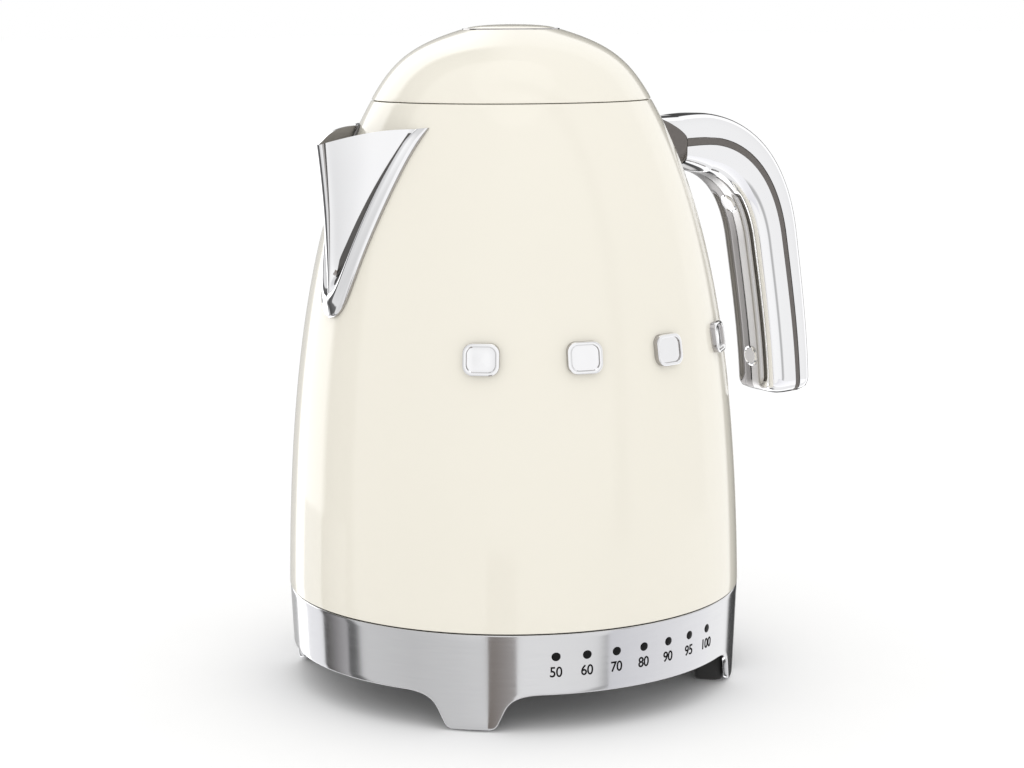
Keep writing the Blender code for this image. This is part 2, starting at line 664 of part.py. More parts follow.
def make_lid_cover(jug):
    outer = curve_points(DOME_CURVE, 6)
    inner = moved_inwards(outer, LID_WALL)
    inner[0] = Vector((inner[0].x, outer[0].y))
    inner[-1] = Vector((outer[-1].x, inner[-1].y))
    cover = turned("lid_cover", list(reversed(outer)) + inner, "cream_paint", jug)
    notch = box("leaf_notch", (45, LEAF_SIDES[0] - 0.5, 215), (56, LEAF_SIDES[1] + 0.5, 223.7))
    return cut(cover, place("leaf_notch", notch, None, jug))


def make_lid_liner(jug, bore):
    """The plate under the lid, with the button's guide in its middle and the hinge's leaf behind."""
    liner = turned("lid_liner", [
        (9, GUIDE_TOP), (9, LINER_TOP), (48.6, LINER_TOP), (48.6, LINER_BOTTOM), (5, LINER_BOTTOM),
        (5, GUIDE_TOP)], "dark_plastic", jug, INNER_STEPS)
    x, z = HINGE
    leaf = box("leaf", (42, LEAF_SIDES[0], LINER_BOTTOM + 0.1), (x, LEAF_SIDES[1], 222.4))
    knuckle = rods("knuckle", KNUCKLE_RADIUS, [((x, LEAF_SIDES[0], z), (x, LEAF_SIDES[1], z))])
    slot = box("latch_slot", (-LATCH_TOE - 0.6, -3.4, 215), (-39, 3.4, 225))
    boolean(liner, "UNION", place("hinge_leaf", leaf, None, jug),
            place("hinge_knuckle", knuckle, None, jug))
    return cut(liner, place("latch_slot", slot, None, jug), bore)


def make_button(jug, lid):
    pivot = new_empty("button_slide", lid, Vector((0, 0, BUTTON_TOP)) - lid.location / MM)
    button = turned("lid_button", [
        (0, BUTTON_TOP), (8, BUTTON_TOP - 0.3), (14, BUTTON_TOP - 1.2), (BUTTON_RADIUS, 245.6),
        (BUTTON_RADIUS, 240.5), (15.4, 240.5), (15.4, 243.6), (4, 243.6), (4, 225), (0, 225)],
        "cream_paint", jug, INNER_STEPS)
    button.parent = pivot
    button.location = (0, 0, -BUTTON_TOP * MM)
    on_pivot(spring("button_spring", (0, 0, 233), "Z", 6.3, 0.5, 9.8, 3, jug), lid)


def make_latch(jug, lid):
    pivot = new_empty("latch_slide", lid, Vector((-LATCH_TOE, 0, 223)) - lid.location / MM)
    latch = place("lid_latch", box("lid_latch", (-LATCH_TOE, -3, 222.8), (-18, 3, 226.6)),
                  "black_plastic", pivot, (LATCH_TOE, 0, -223))
    hook = place("latch_hook", box("latch_hook", (-LATCH_TOE, -3, 216.8), (-43.4, 3, 223.5)),
                 None, pivot, (LATCH_TOE, 0, -223))
    boolean(latch, "UNION", hook)
    on_pivot(spring("latch_spring", (-17.3, 0, 224.9), "X", 1.7, 0.35, 7.2, 3, jug), lid)


def build():
    """Base, then the ring that turns on it, the jug that lifts off the ring, and the lid on the jug."""
    root = new_empty("kettle_root", location=((BASE_RADIUS - HANDLE_REACH) / 2, 0, 0))
    base = new_empty("base_frame", root, turn=BASE_TURN)
    make_base_housing(base)
    make_base_plates(base)
    make_feet(base)
    make_base_electrics(base)
    make_levers(base)
    turn = new_empty("jug_turn", root)
    turned("glide_ring", [(65.4, GLIDE_TOP), (65.4, 34), (60.6, 34), (60.6, GLIDE_TOP)],
           "black_plastic", turn, INNER_STEPS)
    jug = new_empty("jug_lift", turn)
    make_body_shell(jug)
    clear_of_body = body_space(jug)
    make_water_window(jug)
    make_jug_floor(jug)
    make_spout(jug, clear_of_body)
    make_filter(jug)
    make_handle(jug, clear_of_body)
    make_badges(jug, clear_of_body)
    bore = make_hinge_bracket(jug, clear_of_body)
    lid = make_lid(jug, bore)
    make_button(jug, lid)
    make_latch(jug, lid)


for old in list(bpy.data.objects):
    bpy.data.objects.remove(old)
PARTS = new_collection("electric_kettle")
CUTTERS = new_collection("cutters")
MATERIALS = {name: new_material(name, *look) for name, look in COLOURS.items()}
build()
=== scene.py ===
"""Looks of the electric kettle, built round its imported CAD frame.

Outlines are in millimetres in the kettle's frame (the jug's axis at x = y = 0, the floor at z = 0,
spout towards -X, handle towards +X), and are moved to the row frame by AXIS, which is read from it.
"""

import math

import bmesh
import bpy
from mathutils import Matrix, Vector


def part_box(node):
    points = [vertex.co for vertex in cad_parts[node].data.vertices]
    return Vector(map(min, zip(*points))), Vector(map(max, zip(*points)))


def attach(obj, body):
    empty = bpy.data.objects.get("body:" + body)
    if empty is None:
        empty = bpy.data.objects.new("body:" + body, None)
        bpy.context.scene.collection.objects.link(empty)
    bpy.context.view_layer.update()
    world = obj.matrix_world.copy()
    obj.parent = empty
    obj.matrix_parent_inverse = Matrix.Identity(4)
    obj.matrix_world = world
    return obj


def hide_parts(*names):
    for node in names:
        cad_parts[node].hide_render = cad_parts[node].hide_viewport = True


MM = 0.001
ROUND, FINE_ROUND = 160, 224       # columns of a large turned piece, and of the jug's and the lid's shells
BODY_ROWS = 60
BODY_CURVE = [(86.5, 36.5), (84.9, 138.8), (70.3, 188.6), (52.5, 219.6)]
DOME_CURVE = [(52.4, 220.1), (44.3, 234.4), (36.9, 240.1), (18.6, 245.6)]
BODY_WALL, LID_WALL, MOUTH_RADIUS = 1.0, 1.3, 46.3

BASE_TURN = math.radians(1.2)
BASE_RADIUS, SKIRT_RADIUS, BASE_WALL = 86.3, 85.4, 2.0
BASE_TOP, SKIRT_BOTTOM, LEG_BOTTOM = 36.1, 13.8, 0.9
BASE_EDGE, BASE_ROWS = 0.5, 14     # rounding of the housing's edges, and rows down its wall
LEG_FLARE = [(12.4, 8.0), (14.2, 11.6), (17.5, 13.8), (26.0, 13.8)]   # from the leg's centre line
LEG_FOOT, LEG_CORNER = 8.9, 2.4
LAMP_HEIGHT, LAMP_RADIUS, LABEL_HEIGHT, LABEL_SIZE = 28.0, 1.75, 22.1, 5.3
LABEL_BOLDER = 0.07
LAMP_ANGLES = [math.radians(7.6 * i - 1.75) for i in range(-3, 4)]
LABELS = ["50", "60", "70", "80", "90", "95", "100"]
LEVERS = {"temperature": math.radians(86), "start": math.radians(110)}
LEVER_PIVOT, LEVER_REACH, LEVER_BALL = (76.0, 25.0), 16.5, 3.6
SCREW_ANGLES = [math.radians(a) for a in (13, 133, 253)]

NOSE_FOOT, NOSE_TOP, NOSE_BOW = (79.4, 146.0), (82.9, 205.4), 2.2
TRIM_OUTER = [(25.2, 211.4), (22.8, 202.5), (20.0, 190), (17.0, 178), (13.6, 166), (10.4, 155), (7.6, 148),
              (4.2, 144.2), (0, 142.9)]
TRIM_INNER = [(20.2, 210.9), (17.6, 202.5), (13.6, 190.5), (10.2, 180), (7.2, 170.5), (4.6, 163.5),
              (2.8, 159.4), (1.3, 157.0), (0, 156.0)]

HANDLE_PATH = [[(56, 201.0), (61, 201.2), (68, 201.4), (73.8, 201.5)],
               [(73.8, 201.5), (78, 201.7), (84, 201.9), (88, 201.4)],
               [(88, 201.4), (103.5, 199.5), (118.6, 188), (123.2, 162.1)],
               [(123.2, 162.1), (126.7, 142.4), (131.2, 118), (131.9, 97.4)]]
HANDLE_HALF_WIDTH = 13.0
CORE_THICKNESS = (3.0, 2.0)
OUTER_DEPTHS, INNER_DEPTHS = (8.5, 9.6, 7.8), (7.0, 11.8, 12.4)
COLLAR_TOP, COLLAR_BOTTOM = 212.4, 193.2
CAP_RADIUS = 4.1
CAP_FACE = CAP_RADIUS - 1.1         # radius of the face inside the cap's ring, which gets a paler painted shade
GROOVE_DEPTH, GROOVE_ACROSS, GROOVE_HALF_WIDTH = 1.7, 6.9, 1.9
CAP_POINTS = {"upper": (106.4, 176.6), "lower": (117.8, 111.4)}

HINGE, PIN_RADIUS, KNUCKLE_RADIUS = (55.0, 220.3), 1.0, 2.2
LUG_FACES, LEAF_SIDES = (4.6, 6.6), (-4.3, 0.6)
BUTTON_RADIUS, BUTTON_TOP = 16.9, 248.0
LID_SEAM = 0.2                     # how far the lid's rolled edge hangs into the seam
LATCH_TOE = 46.0
BADGE_ANGLES = [math.radians(a) for a in (-41, -15, 10.5, 38)]
BADGE_HEIGHT = 133.0
WINDOW = (5.0, 72.0, 152.0)

CAMERA_DISTANCE, CAMERA_HEIGHT, CAMERA_LENS = 837.4, 249.1, 77.85
CAMERA_AZIMUTH, CAMERA_PAN, CAMERA_TILT, CAMERA_ROLL = 33.2, 33.18, 9.345, 0.32

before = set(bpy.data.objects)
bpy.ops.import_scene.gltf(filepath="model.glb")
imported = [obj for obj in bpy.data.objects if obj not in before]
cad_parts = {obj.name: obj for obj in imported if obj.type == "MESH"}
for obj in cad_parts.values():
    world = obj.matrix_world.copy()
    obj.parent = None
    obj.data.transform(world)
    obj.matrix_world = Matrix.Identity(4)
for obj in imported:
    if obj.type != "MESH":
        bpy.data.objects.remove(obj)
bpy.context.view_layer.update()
shell_low, shell_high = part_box("body_shell")
AXIS = Vector(((shell_low.x + shell_high.x) / 2, (shell_low.y + shell_high.y) / 2, 0))


# ------------------------------------------------------------------ outlines

def cubic(controls, t):
    a, b, c, d = (Vector(p) for p in controls)
    s = 1 - t
    return s ** 3 * a + 3 * s * s * t * b + 3 * s * t * t * c + t ** 3 * d


def curve_points(controls, count):
    return [cubic(controls, i / count) for i in range(count + 1)]


def moved_inwards(outline, distance):
    moved = []
    for i, point in enumerate(outline):
        along = (outline[min(i + 1, len(outline) - 1)] - outline[max(i - 1, 0)]).normalized()
        moved.append(point + distance * Vector((-along.y, along.x)))
    return moved


def rounded(outline, radius, closed=True, steps=4):
    """The outline with each corner sharper than 25 degrees rounded off."""
    points = [Vector(p) for p in outline]
    made = []
    for i, point in enumerate(points):
        if not closed and i in (0, len(points) - 1):
            made.append(point)
            continue
        before, after = points[i - 1], points[(i + 1) % len(points)]
        back, forth = before - point, after - point
        if back.length < 1e-6 or forth.length < 1e-6 or back.angle(forth) > math.radians(155):
            made.append(point)
            continue
        reach = min(radius, 0.45 * back.length, 0.45 * forth.length)
        start, end = point + back.normalized() * reach, point + forth.normalized() * reach
        made += bent(start, point, end, [k / steps for k in range(steps + 1)])
    return made


def bent(start, corner, end, shares):
    """Points on the curve from start to end that leans towards the corner."""
    return [(1 - t) ** 2 * start + 2 * t * (1 - t) * corner + t * t * end for t in shares]


def at(spot, turn=0.0, axis="Z"):
    """The place of a piece that stands at a spot, turned about an axis."""
    return Matrix.Translation(Vector(spot) * MM) @ Matrix.Rotation(turn, 4, axis)


def aimed(direction):
    """The turn that brings +Z to a direction."""
    return direction.to_track_quat("Z", "Y").to_matrix().to_4x4()


def body_radius(height):
    low, high = 0.0, 1.0
    for _ in range(40):
        middle = (low + high) / 2
        low, high = (middle, high) if cubic(BODY_CURVE, middle).y < height else (low, middle)
    return cubic(BODY_CURVE, low).x


def base_radius(height):
    return SKIRT_RADIUS + (BASE_RADIUS - SKIRT_RADIUS) * (height - SKIRT_BOTTOM) / (BASE_TOP - SKIRT_BOTTOM)


def on_circle(radius, angle, height):
    """A point at an angle from -Y towards +X."""
    return Vector((radius * math.sin(angle), -radius * math.cos(angle), height))


def squared(value, power=0.75):
    """Draws a circle's coordinate out towards a rounded square."""
    return math.copysign(abs(value) ** power, value)


def rounded_box(half_width, half_height, corner, steps=5):
    """A rounded rectangle's outline round the origin."""
    outline = []
    for quarter, (sx, sy) in enumerate(((1, 1), (-1, 1), (-1, -1), (1, -1))):
        for k in range(steps + 1):
            angle = math.pi / 2 * (quarter + k / steps)
            outline.append((sx * (half_width - corner) + corner * math.cos(angle),
                            sy * (half_height - corner) + corner * math.sin(angle)))
    return outline


# ------------------------------------------------------------------ making pieces

def mesh_of(name, build, sharp=35):
    """A mesh made by build(bmesh), in millimetres, scaled to metres and shaded smooth."""
    made = bmesh.new()
    build(made)
    bmesh.ops.scale(made, vec=(MM, MM, MM), verts=made.verts)
    bmesh.ops.remove_doubles(made, verts=made.verts, dist=1e-6)
    bmesh.ops.dissolve_degenerate(made, edges=made.edges, dist=1e-7)
    bmesh.ops.recalc_face_normals(made, faces=made.faces)
    mesh = bpy.data.meshes.new(name)
    made.to_mesh(mesh)
    made.free()
    return smooth(mesh, sharp)


def skin(made, rows, wrap_rows=False, caps=True):
    """Closed rings of points joined by quads, with flat caps on the first and last ring."""
    rings = [[made.verts.new(point) for point in row] for row in rows]
    count = len(rings[0])
    following = rings[1:] + ([rings[0]] if wrap_rows else [])
    for ring, after in zip(rings, following):
        for i in range(count):
            j = (i + 1) % count
            made.faces.new((ring[i], ring[j], after[j], after[i]))
    if caps and not wrap_rows:
        made.faces.new(rings[0])
        made.faces.new(rings[-1])


def lofted(name, rows, wrap_rows=False, caps=True, sharp=35):
    return mesh_of(name, lambda made: skin(made, rows, wrap_rows, caps), sharp)


def turned(name, outline, steps=ROUND, sharp=35):
    """A turned solid from an outline of (radius, height) points, closed on itself or on the axis."""
    columns = []
    for i in range(steps):
        angle = 2 * math.pi * i / steps
        columns.append([(r * math.cos(angle), r * math.sin(angle), z) for r, z in outline])

    def build(made):
        rings = [[made.verts.new(point) for point in column] for column in columns]
        last = len(outline) if outline[0][0] > 0 else len(outline) - 1
        for i, ring in enumerate(rings):
            after = rings[(i + 1) % steps]
            for j in range(last):
                k = (j + 1) % len(outline)
                made.faces.new((ring[j], ring[k], after[k], after[j]))
    return mesh_of(name, build, sharp)


def block(name, low, high, corner=0.4):
    """A box with rounded edges."""
    low, high = Vector(low), Vector(high)

    def build(made):
        matrix = Matrix.Translation((low + high) / 2) @ Matrix.Diagonal((*(high - low), 1))
        bmesh.ops.create_cube(made, size=1, matrix=matrix)
        bmesh.ops.bevel(made, geom=made.edges[:], offset=corner, segments=3, affect="EDGES", profile=0.5)
    return mesh_of(name, build, 50)


def rod(name, radius, start, end, steps=32, edge=0.3):
    """A round rod with softened ends."""
    start, end = Vector(start), Vector(end)
    length = (end - start).length
    outline = [(0, 0), (radius - edge, 0), (radius - 0.3 * edge, 0.3 * edge), (radius, edge),
               (radius, length - edge), (radius - 0.3 * edge, length - 0.3 * edge),
               (radius - edge, length), (0, length)]
    mesh = turned(name, outline, steps)
    mesh.transform(Matrix.Translation(start * MM) @ aimed(end - start))
    return mesh


def merged(name, *meshes):
    made = bmesh.new()
    for mesh in meshes:
        made.from_mesh(mesh)
    joined = bpy.data.meshes.new(name)
    made.to_mesh(joined)
    made.free()
    return smooth(joined)


def placed(name, data):
    """A new object in the scene."""
    obj = bpy.data.objects.new(name, data)
    bpy.context.scene.collection.objects.link(obj)
    return obj


def baked(obj):
    """A new mesh of the object as it comes out of its modifiers."""
    bpy.context.view_layer.update()
    return bpy.data.meshes.new_from_object(obj.evaluated_get(bpy.context.evaluated_depsgraph_get()))


def piece(name, mesh, body, finish, replaces=(), turn=0.0, place=Matrix()):
    """A shown piece: its mesh is in the kettle's frame, turned with the base where it belongs to it."""
    obj = placed(name, mesh)
    add_finishes(mesh, finish)
    obj.matrix_world = Matrix.Translation(AXIS) @ Matrix.Rotation(turn, 4, "Z") @ place
    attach(obj, body)
    if replaces:
        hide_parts(*replaces)


def turned_piece(name, outline, body, finish, replaced, turn=0.0, corner=0.4, steps=ROUND, place=Matrix(),
                 closed=True):
    """A turned piece that stands in for one CAD node."""
    mesh = turned(name, rounded(outline, corner, closed), steps)
    piece(name, mesh, body, finish, [replaced], turn, place)


def add_finishes(mesh, *names):
    for name in names:
        mesh.materials.append(FINISHES[name])


def smooth(mesh, sharp=35):
    mesh.shade_smooth()
    mesh.set_sharp_from_angle(angle=math.radians(sharp))
    return mesh


def carved(mesh, *tools):
    """The mesh with each tool mesh cut out of it, all in the same frame."""
    obj = placed("carving", mesh)
    helpers = [placed("tool", tool) for tool in tools]
    for helper in helpers:
        modifier = obj.modifiers.new("carve", "BOOLEAN")
        modifier.operation = "DIFFERENCE"
        modifier.solver = "EXACT"
        modifier.object = helper
    result = baked(obj)
    for used in (obj, *helpers):
        bpy.data.objects.remove(used)
    return smooth(result)


# ------------------------------------------------------------------ materials

# Each finish: the material's name, its two colours, the roughness and its spread, the noise's scale, the
# strength of the bump, and what differs from finish_of's defaults.
FINISH_SETTINGS = {
    "cream": ("cream_enamel", (0.82, 0.785, 0.69), (0.835, 0.80, 0.705),
        0.09, 0.02, 18, 0.05,
        {"bump_depth": 0.0001, "sockets": {"Coat Weight": 0.15, "Coat Roughness": 0.03}}),
    "chrome": ("polished_chrome", (0.90, 0.90, 0.915), (0.93, 0.93, 0.94),
        0.045, 0.025, 40, 0.02, {"metallic": 1.0}),
    # Chrome with painted shade: darker and paler copies of the polished chrome that stand in for dark
    # reflections and for shade in grooves, creases and on flanks.
    "painted_shade_chrome": ("painted_shade_chrome", (0.42, 0.405, 0.40), (0.50, 0.485, 0.48),
        0.08, 0.03, 40, 0.02, {"metallic": 1.0}),
    "painted_dark_shade_face": ("painted_dark_shade_face_chrome", (0.24, 0.23, 0.228), (0.28, 0.27, 0.268),
        0.3, 0.03, 40, 0.02, {"metallic": 1.0}),
    "painted_pale_shade_face": ("painted_pale_shade_face_chrome", (0.52, 0.51, 0.51), (0.58, 0.57, 0.57),
        0.3, 0.03, 40, 0.02, {"metallic": 1.0}),
    "painted_deep_shade_chrome": ("painted_deep_shade_chrome", (0.10, 0.095, 0.093), (0.14, 0.135, 0.13),
        0.12, 0.03, 40, 0.02, {"metallic": 1.0}),
    "satin": ("polished_base_steel", (0.66, 0.66, 0.675), (0.71, 0.71, 0.72),
        0.13, 0.04, 90, 0.04, {"metallic": 1.0, "stretch": (1, 1, 14), "bump_depth": 0.00003}),
    "steel": ("brushed_steel", (0.58, 0.58, 0.59), (0.68, 0.68, 0.68),
        0.28, 0.08, 120, 0.12, {"metallic": 1.0, "stretch": (1, 12, 1), "bump_depth": 0.00004}),
    "spout_inside": ("spout_inside_steel", (0.30, 0.29, 0.29), (0.36, 0.35, 0.35),
        0.35, 0.06, 120, 0.08, {"metallic": 1.0}),
    "grey": ("dark_grey_plastic", (0.115, 0.103, 0.096), (0.135, 0.121, 0.112),
        0.42, 0.06, 700, 0.12, {"bump_depth": 0.00008}),
    "black": ("black_plastic", (0.020, 0.020, 0.021), (0.032, 0.032, 0.033),
        0.42, 0.08, 900, 0.2, {"bump_depth": 0.0001}),
    "rubber": ("foot_rubber", (0.018, 0.018, 0.018), (0.035, 0.034, 0.033),
        0.75, 0.08, 500, 0.3, {"bump_depth": 0.0001}),
    "silicone": ("silicone_seal", (0.42, 0.40, 0.36), (0.50, 0.47, 0.43), 0.5, 0.08, 400, 0.1, {}),
    "clear": ("window_plastic", (0.82, 0.87, 0.88), (0.86, 0.90, 0.90),
        0.08, 0.03, 60, 0.03, {"sockets": {"Transmission Weight": 0.85, "IOR": 1.49}}),
    "board": ("circuit_board", (0.015, 0.13, 0.045), (0.03, 0.20, 0.07), 0.4, 0.1, 350, 0.2, {}),
    "lens": ("lamp_lens", (0.002, 0.002, 0.002), (0.006, 0.006, 0.006),
        0.35, 0.04, 300, 0.05, {"sockets": {"Specular IOR Level": 0.15}}),
    "ink": ("printed_ink", (0.004, 0.004, 0.004), (0.010, 0.010, 0.010),
        0.6, 0.1, 900, 0.05, {"sockets": {"Specular IOR Level": 0.1}}),
    "copper": ("contact_brass", (0.72, 0.50, 0.22), (0.80, 0.60, 0.30),
        0.25, 0.08, 200, 0.05, {"metallic": 1.0}),
}


def finish_of(name, colour, second, roughness, spread, grain, bump, settings):
    """A procedural finish: noise varies the colour, the roughness and the height of the surface."""
    made = bpy.data.materials.new(name)
    made.use_nodes = True
    tree = made.node_tree
    shader = tree.nodes["Principled BSDF"]
    shader.inputs["Metallic"].default_value = settings.get("metallic", 0.0)
    for socket, value in settings.get("sockets", {}).items():
        shader.inputs[socket].default_value = value
    where = new_node(tree, "ShaderNodeTexCoord")
    mapping = new_node(tree, "ShaderNodeMapping", Scale=settings.get("stretch", (1, 1, 1)))
    noise = new_node(tree, "ShaderNodeTexNoise", Scale=grain, Detail=6)
    rough = new_node(tree, "ShaderNodeMapRange")
    rough.inputs["To Min"].default_value = max(roughness - spread, 0.0)
    rough.inputs["To Max"].default_value = roughness + spread
    mix = new_node(tree, "ShaderNodeMix", A=(*colour, 1), B=(*second, 1))
    height = new_node(tree, "ShaderNodeBump", Strength=bump, Distance=settings.get("bump_depth", 0.00005))
    for source, target in (
            (where.outputs["Object"], mapping.inputs["Vector"]),
            (mapping.outputs["Vector"], noise.inputs["Vector"]),
            (noise.outputs["Fac"], rough.inputs["Value"]),
            (rough.outputs["Result"], shader.inputs["Roughness"]),
            (noise.outputs["Fac"], mix.inputs["Factor"]),
            (mix.outputs["Result"], shader.inputs["Base Color"]),
            (noise.outputs["Fac"], height.inputs["Height"]),
            (height.outputs["Normal"], shader.inputs["Normal"])):
        tree.links.new(source, target)
    return made


def new_node(tree, kind, **values):
    """A node with the given values on its input sockets."""
    node = tree.nodes.new(kind)
    if kind == "ShaderNodeMix":
        node.data_type = "RGBA"
    for socket, value in values.items():
        node.inputs[socket].default_value = value
    return node


def make_finishes():
    return {finish: finish_of(*settings) for finish, settings in FINISH_SETTINGS.items()}


# ------------------------------------------------------------------ base

def leg_outline():
    """(distance from the leg's middle, height) of the skirt's lower edge, from one leg to the next gap."""
    foot = [(x, LEG_BOTTOM) for x in (0.0, 2.0, 4.0, LEG_FOOT - LEG_CORNER)]
    tip, top = Vector((LEG_FOOT, LEG_BOTTOM)), Vector(LEG_FLARE[0])
    end = tip + (top - tip).normalized() * LEG_CORNER
    corner = bent(Vector(foot[-1]), tip, end, [k / 6 for k in range(1, 7)])
    side = [end.lerp(top, k / 4) for k in range(1, 4)]
    flare = curve_points(LEG_FLARE, 14)
    middle = BASE_RADIUS * math.pi / 4
    skirt = [(LEG_FLARE[-1][0] + (middle - LEG_FLARE[-1][0]) * k / 18, SKIRT_BOTTOM) for k in range(1, 19)]
    return [Vector(p) for p in [*foot, *corner, *side, *flare, *skirt]]


def base_columns():
    """The lower edge right round the base, as (arc length, height, outward normal in that plane)."""
    half = leg_outline()
    whole = [Vector((-p.x, p.y)) for p in reversed(half[1:])] + half[:-1]
    columns = []
    for i in range(4):
        shift = math.radians(45 + 90 * i) * BASE_RADIUS
        for k, point in enumerate(whole):
            along = (whole[min(k + 1, len(whole) - 1)] - whole[max(k - 1, 0)]).normalized()
            columns.append((point.x + shift, point.y, Vector((along.y, -along.x))))
    return columns


def edge_turn(steps):
    """(rise, inset) at the given quarters of the housing's rounded edges."""
    angles = [math.pi * k / 8 for k in steps]
    return [(BASE_EDGE * math.sin(a), BASE_EDGE * (1 - math.cos(a))) for a in angles]


def make_base_housing():
    rings = []
    for arc, height, normal in base_columns():
        start, end = Vector((arc, BASE_TOP - BASE_EDGE)), Vector((arc, height)) - BASE_EDGE * normal
        wall = [start.lerp(end, k / BASE_ROWS) for k in range(BASE_ROWS + 1)]
        ring = [(p, 0.0) for p in wall]
        ring += [(end + rise * normal, inset) for rise, inset in edge_turn((1, 2, 3, 4))]
        ring += [(end + rise * normal, BASE_WALL - inset) for rise, inset in edge_turn((3, 2, 1, 0))]
        ring += [(p, BASE_WALL) for p in reversed(wall[:-1])]
        ring += [(start + Vector((0, rise)), BASE_WALL - inset) for rise, inset in edge_turn((1, 2, 3))]
        ring += [(start + Vector((0, rise)), inset) for rise, inset in edge_turn((4, 3, 2, 1))]
        rings.append([on_circle(base_radius(p.y) - depth, p.x / BASE_RADIUS + math.pi / 2, p.y)
                      for p, depth in ring])
    mesh = lofted("base_housing", rings, wrap_rows=True, sharp=60)
    slots = []
    for angle in LEVERS.values():
        slot = lofted("slot", [[(x, u, v + LEVER_PIVOT[1] - 1.6) for u, v in rounded_box(2.5, 4.6, 2.4)]
                               for x in (80, 90)])
        slot.transform(Matrix.Rotation(angle - math.pi / 2, 4, "Z"))
        slots.append(slot)
    piece("base_housing_shell", carved(mesh, *slots), "base", "satin", ["base_housing"], BASE_TURN)


def make_scale():
    """Seven dark lamp lenses, each with its number printed below."""
    lenses = []
    for angle in LAMP_ANGLES:
        radius = base_radius(LAMP_HEIGHT)
        lens = turned("lens", [(0, 0.42), (0.7, 0.40), (1.25, 0.30), (LAMP_RADIUS - 0.12, 0.16),
                               (LAMP_RADIUS, 0.0), (LAMP_RADIUS, -1.2), (0, -1.2)], 40)
        stand = at(on_circle(radius - 0.15, angle, LAMP_HEIGHT), angle)
        lens.transform(stand @ Matrix.Rotation(math.pi / 2, 4, "X"))
        lenses.append(lens)
    piece("lamp_lenses", merged("lamp_lenses", *lenses), "base", "lens", ["light_guide"], BASE_TURN)
    for label, angle in zip(LABELS, LAMP_ANGLES):
        piece(f"scale_{label}", number_mesh(label, angle), "base", "ink", turn=BASE_TURN)


def number_mesh(label, angle):
    """A printed number bent round the base."""
    text = bpy.data.curves.new(label, "FONT")
    text.body = label
    text.align_x, text.align_y = "CENTER", "CENTER"
    text.size = LABEL_SIZE * MM
    text.space_character = 0.95
    text.extrude = 0.03 * MM
    text.offset = LABEL_BOLDER * MM
    text.resolution_u = 6
    obj = placed(label, text)
    mesh = baked(obj)
    bpy.data.objects.remove(obj)
    for vertex in mesh.vertices:
        across, up, out = vertex.co / MM
        height = LABEL_HEIGHT + up
        radius = base_radius(height) + 0.05 + out
        vertex.co = on_circle(radius, angle + across * 0.92 / BASE_RADIUS, height) * MM
    return mesh


def make_base_inside():
    turned_piece("top_plate", [
        (83.6, 35.2), (83.6, 32), (11.6, 32), (11.6, 35.2), (24, 35.2), (25, 34.6), (40, 34.6), (41, 35.2),
        (59.7, 35.2), (59.7, 33.7), (66.3, 33.7), (66.3, 35.2)], "base", "black", "base_top_plate", BASE_TURN)
    turned_piece("connector_spigot", [
        (10, 48), (11, 47), (11, 44.5), (10.5, 44), (10.5, 43), (11, 42.5), (11, 39.5), (10.5, 39),
        (10.5, 38), (11, 37.5), (11, 31.7), (20, 31.7), (20, 26), (2.5, 26), (2.5, 48)],
        "base", "black", "base_connector", BASE_TURN, steps=72)
    contacts = merged("contacts", *[turned("contact", [(10.9, z + 0.4), (10.9, z - 0.4), (10.3, z - 0.4),
                                                       (10.3, z + 0.4)], 72) for z in (43.5, 38.5)])
    piece("connector_contacts", contacts, "base", "copper", turn=BASE_TURN)
    piece("contact_pin", rod("contact_pin", 0.9, (0, 0, 30), (0, 0, 46.5)), "base", "copper", turn=BASE_TURN)
    turned_piece("bottom_cover", [
        (82.6, 16), (82.6, 14.3), (78, 14.0), (66, 14.0), (65, 14.8), (52, 14.8), (51, 14.0), (24, 14.0),
        (22, 15.0), (4, 15.0), (4, 16)], "base", "black", "base_bottom_cover", BASE_TURN)
    for i in range(4):
        angle = math.radians(45 + 90 * i)
        rings = []
        for inset, height in ((1.5, 0.0), (0.5, 0.25), (0.0, 1.0), (0.0, 7.0), (0.4, 13.5)):
            outline = rounded_box(5.4 - inset, 8.2 - inset, 2.2 - inset / 2)
            rings.append([(76.4 + u, v, height) for u, v in outline])
        pad = lofted("foot", rings)
        piece(f"foot_{i + 1}", pad, "base", "rubber", [f"foot_pad_{i + 1}"], BASE_TURN + angle)
    for i, angle in enumerate(SCREW_ANGLES):
        place = at(on_circle(58, angle, 13.7), math.pi, "X")
        piece(f"cover_screw_below_{i + 1}", screw_head("screw", 3.2, 1.4), "base", "steel",
              [f"base_screw_{i + 1}"], BASE_TURN, place)
    gland = at((0, 79.2, 21), -math.pi / 2, "X")
    turned_piece("cord_gland_bush", [(4.9, 7.6), (4.9, 6.9), (4, 6.6), (4, 0), (2.2, 0), (2.2, 7.6)],
                 "base", "rubber", "cord_gland", BASE_TURN, steps=48, place=gland)


def screw_head(name, radius, height):
    """A pan head with a cross recess, standing on z = 0."""
    shape = ((0, 1), (0.55, 0.95), (0.85, 0.7), (1, 0.25), (1, 0), (0, 0))
    outline = [(r * radius, h * height) for r, h in shape]
    bars = [block("bar", (-x, -y, 0.45 * height), (x, y, 2 * height), 0.1)
            for x, y in ((0.62 * radius, 0.5), (0.5, 0.62 * radius))]
    return carved(turned(name, outline, 40), *bars)


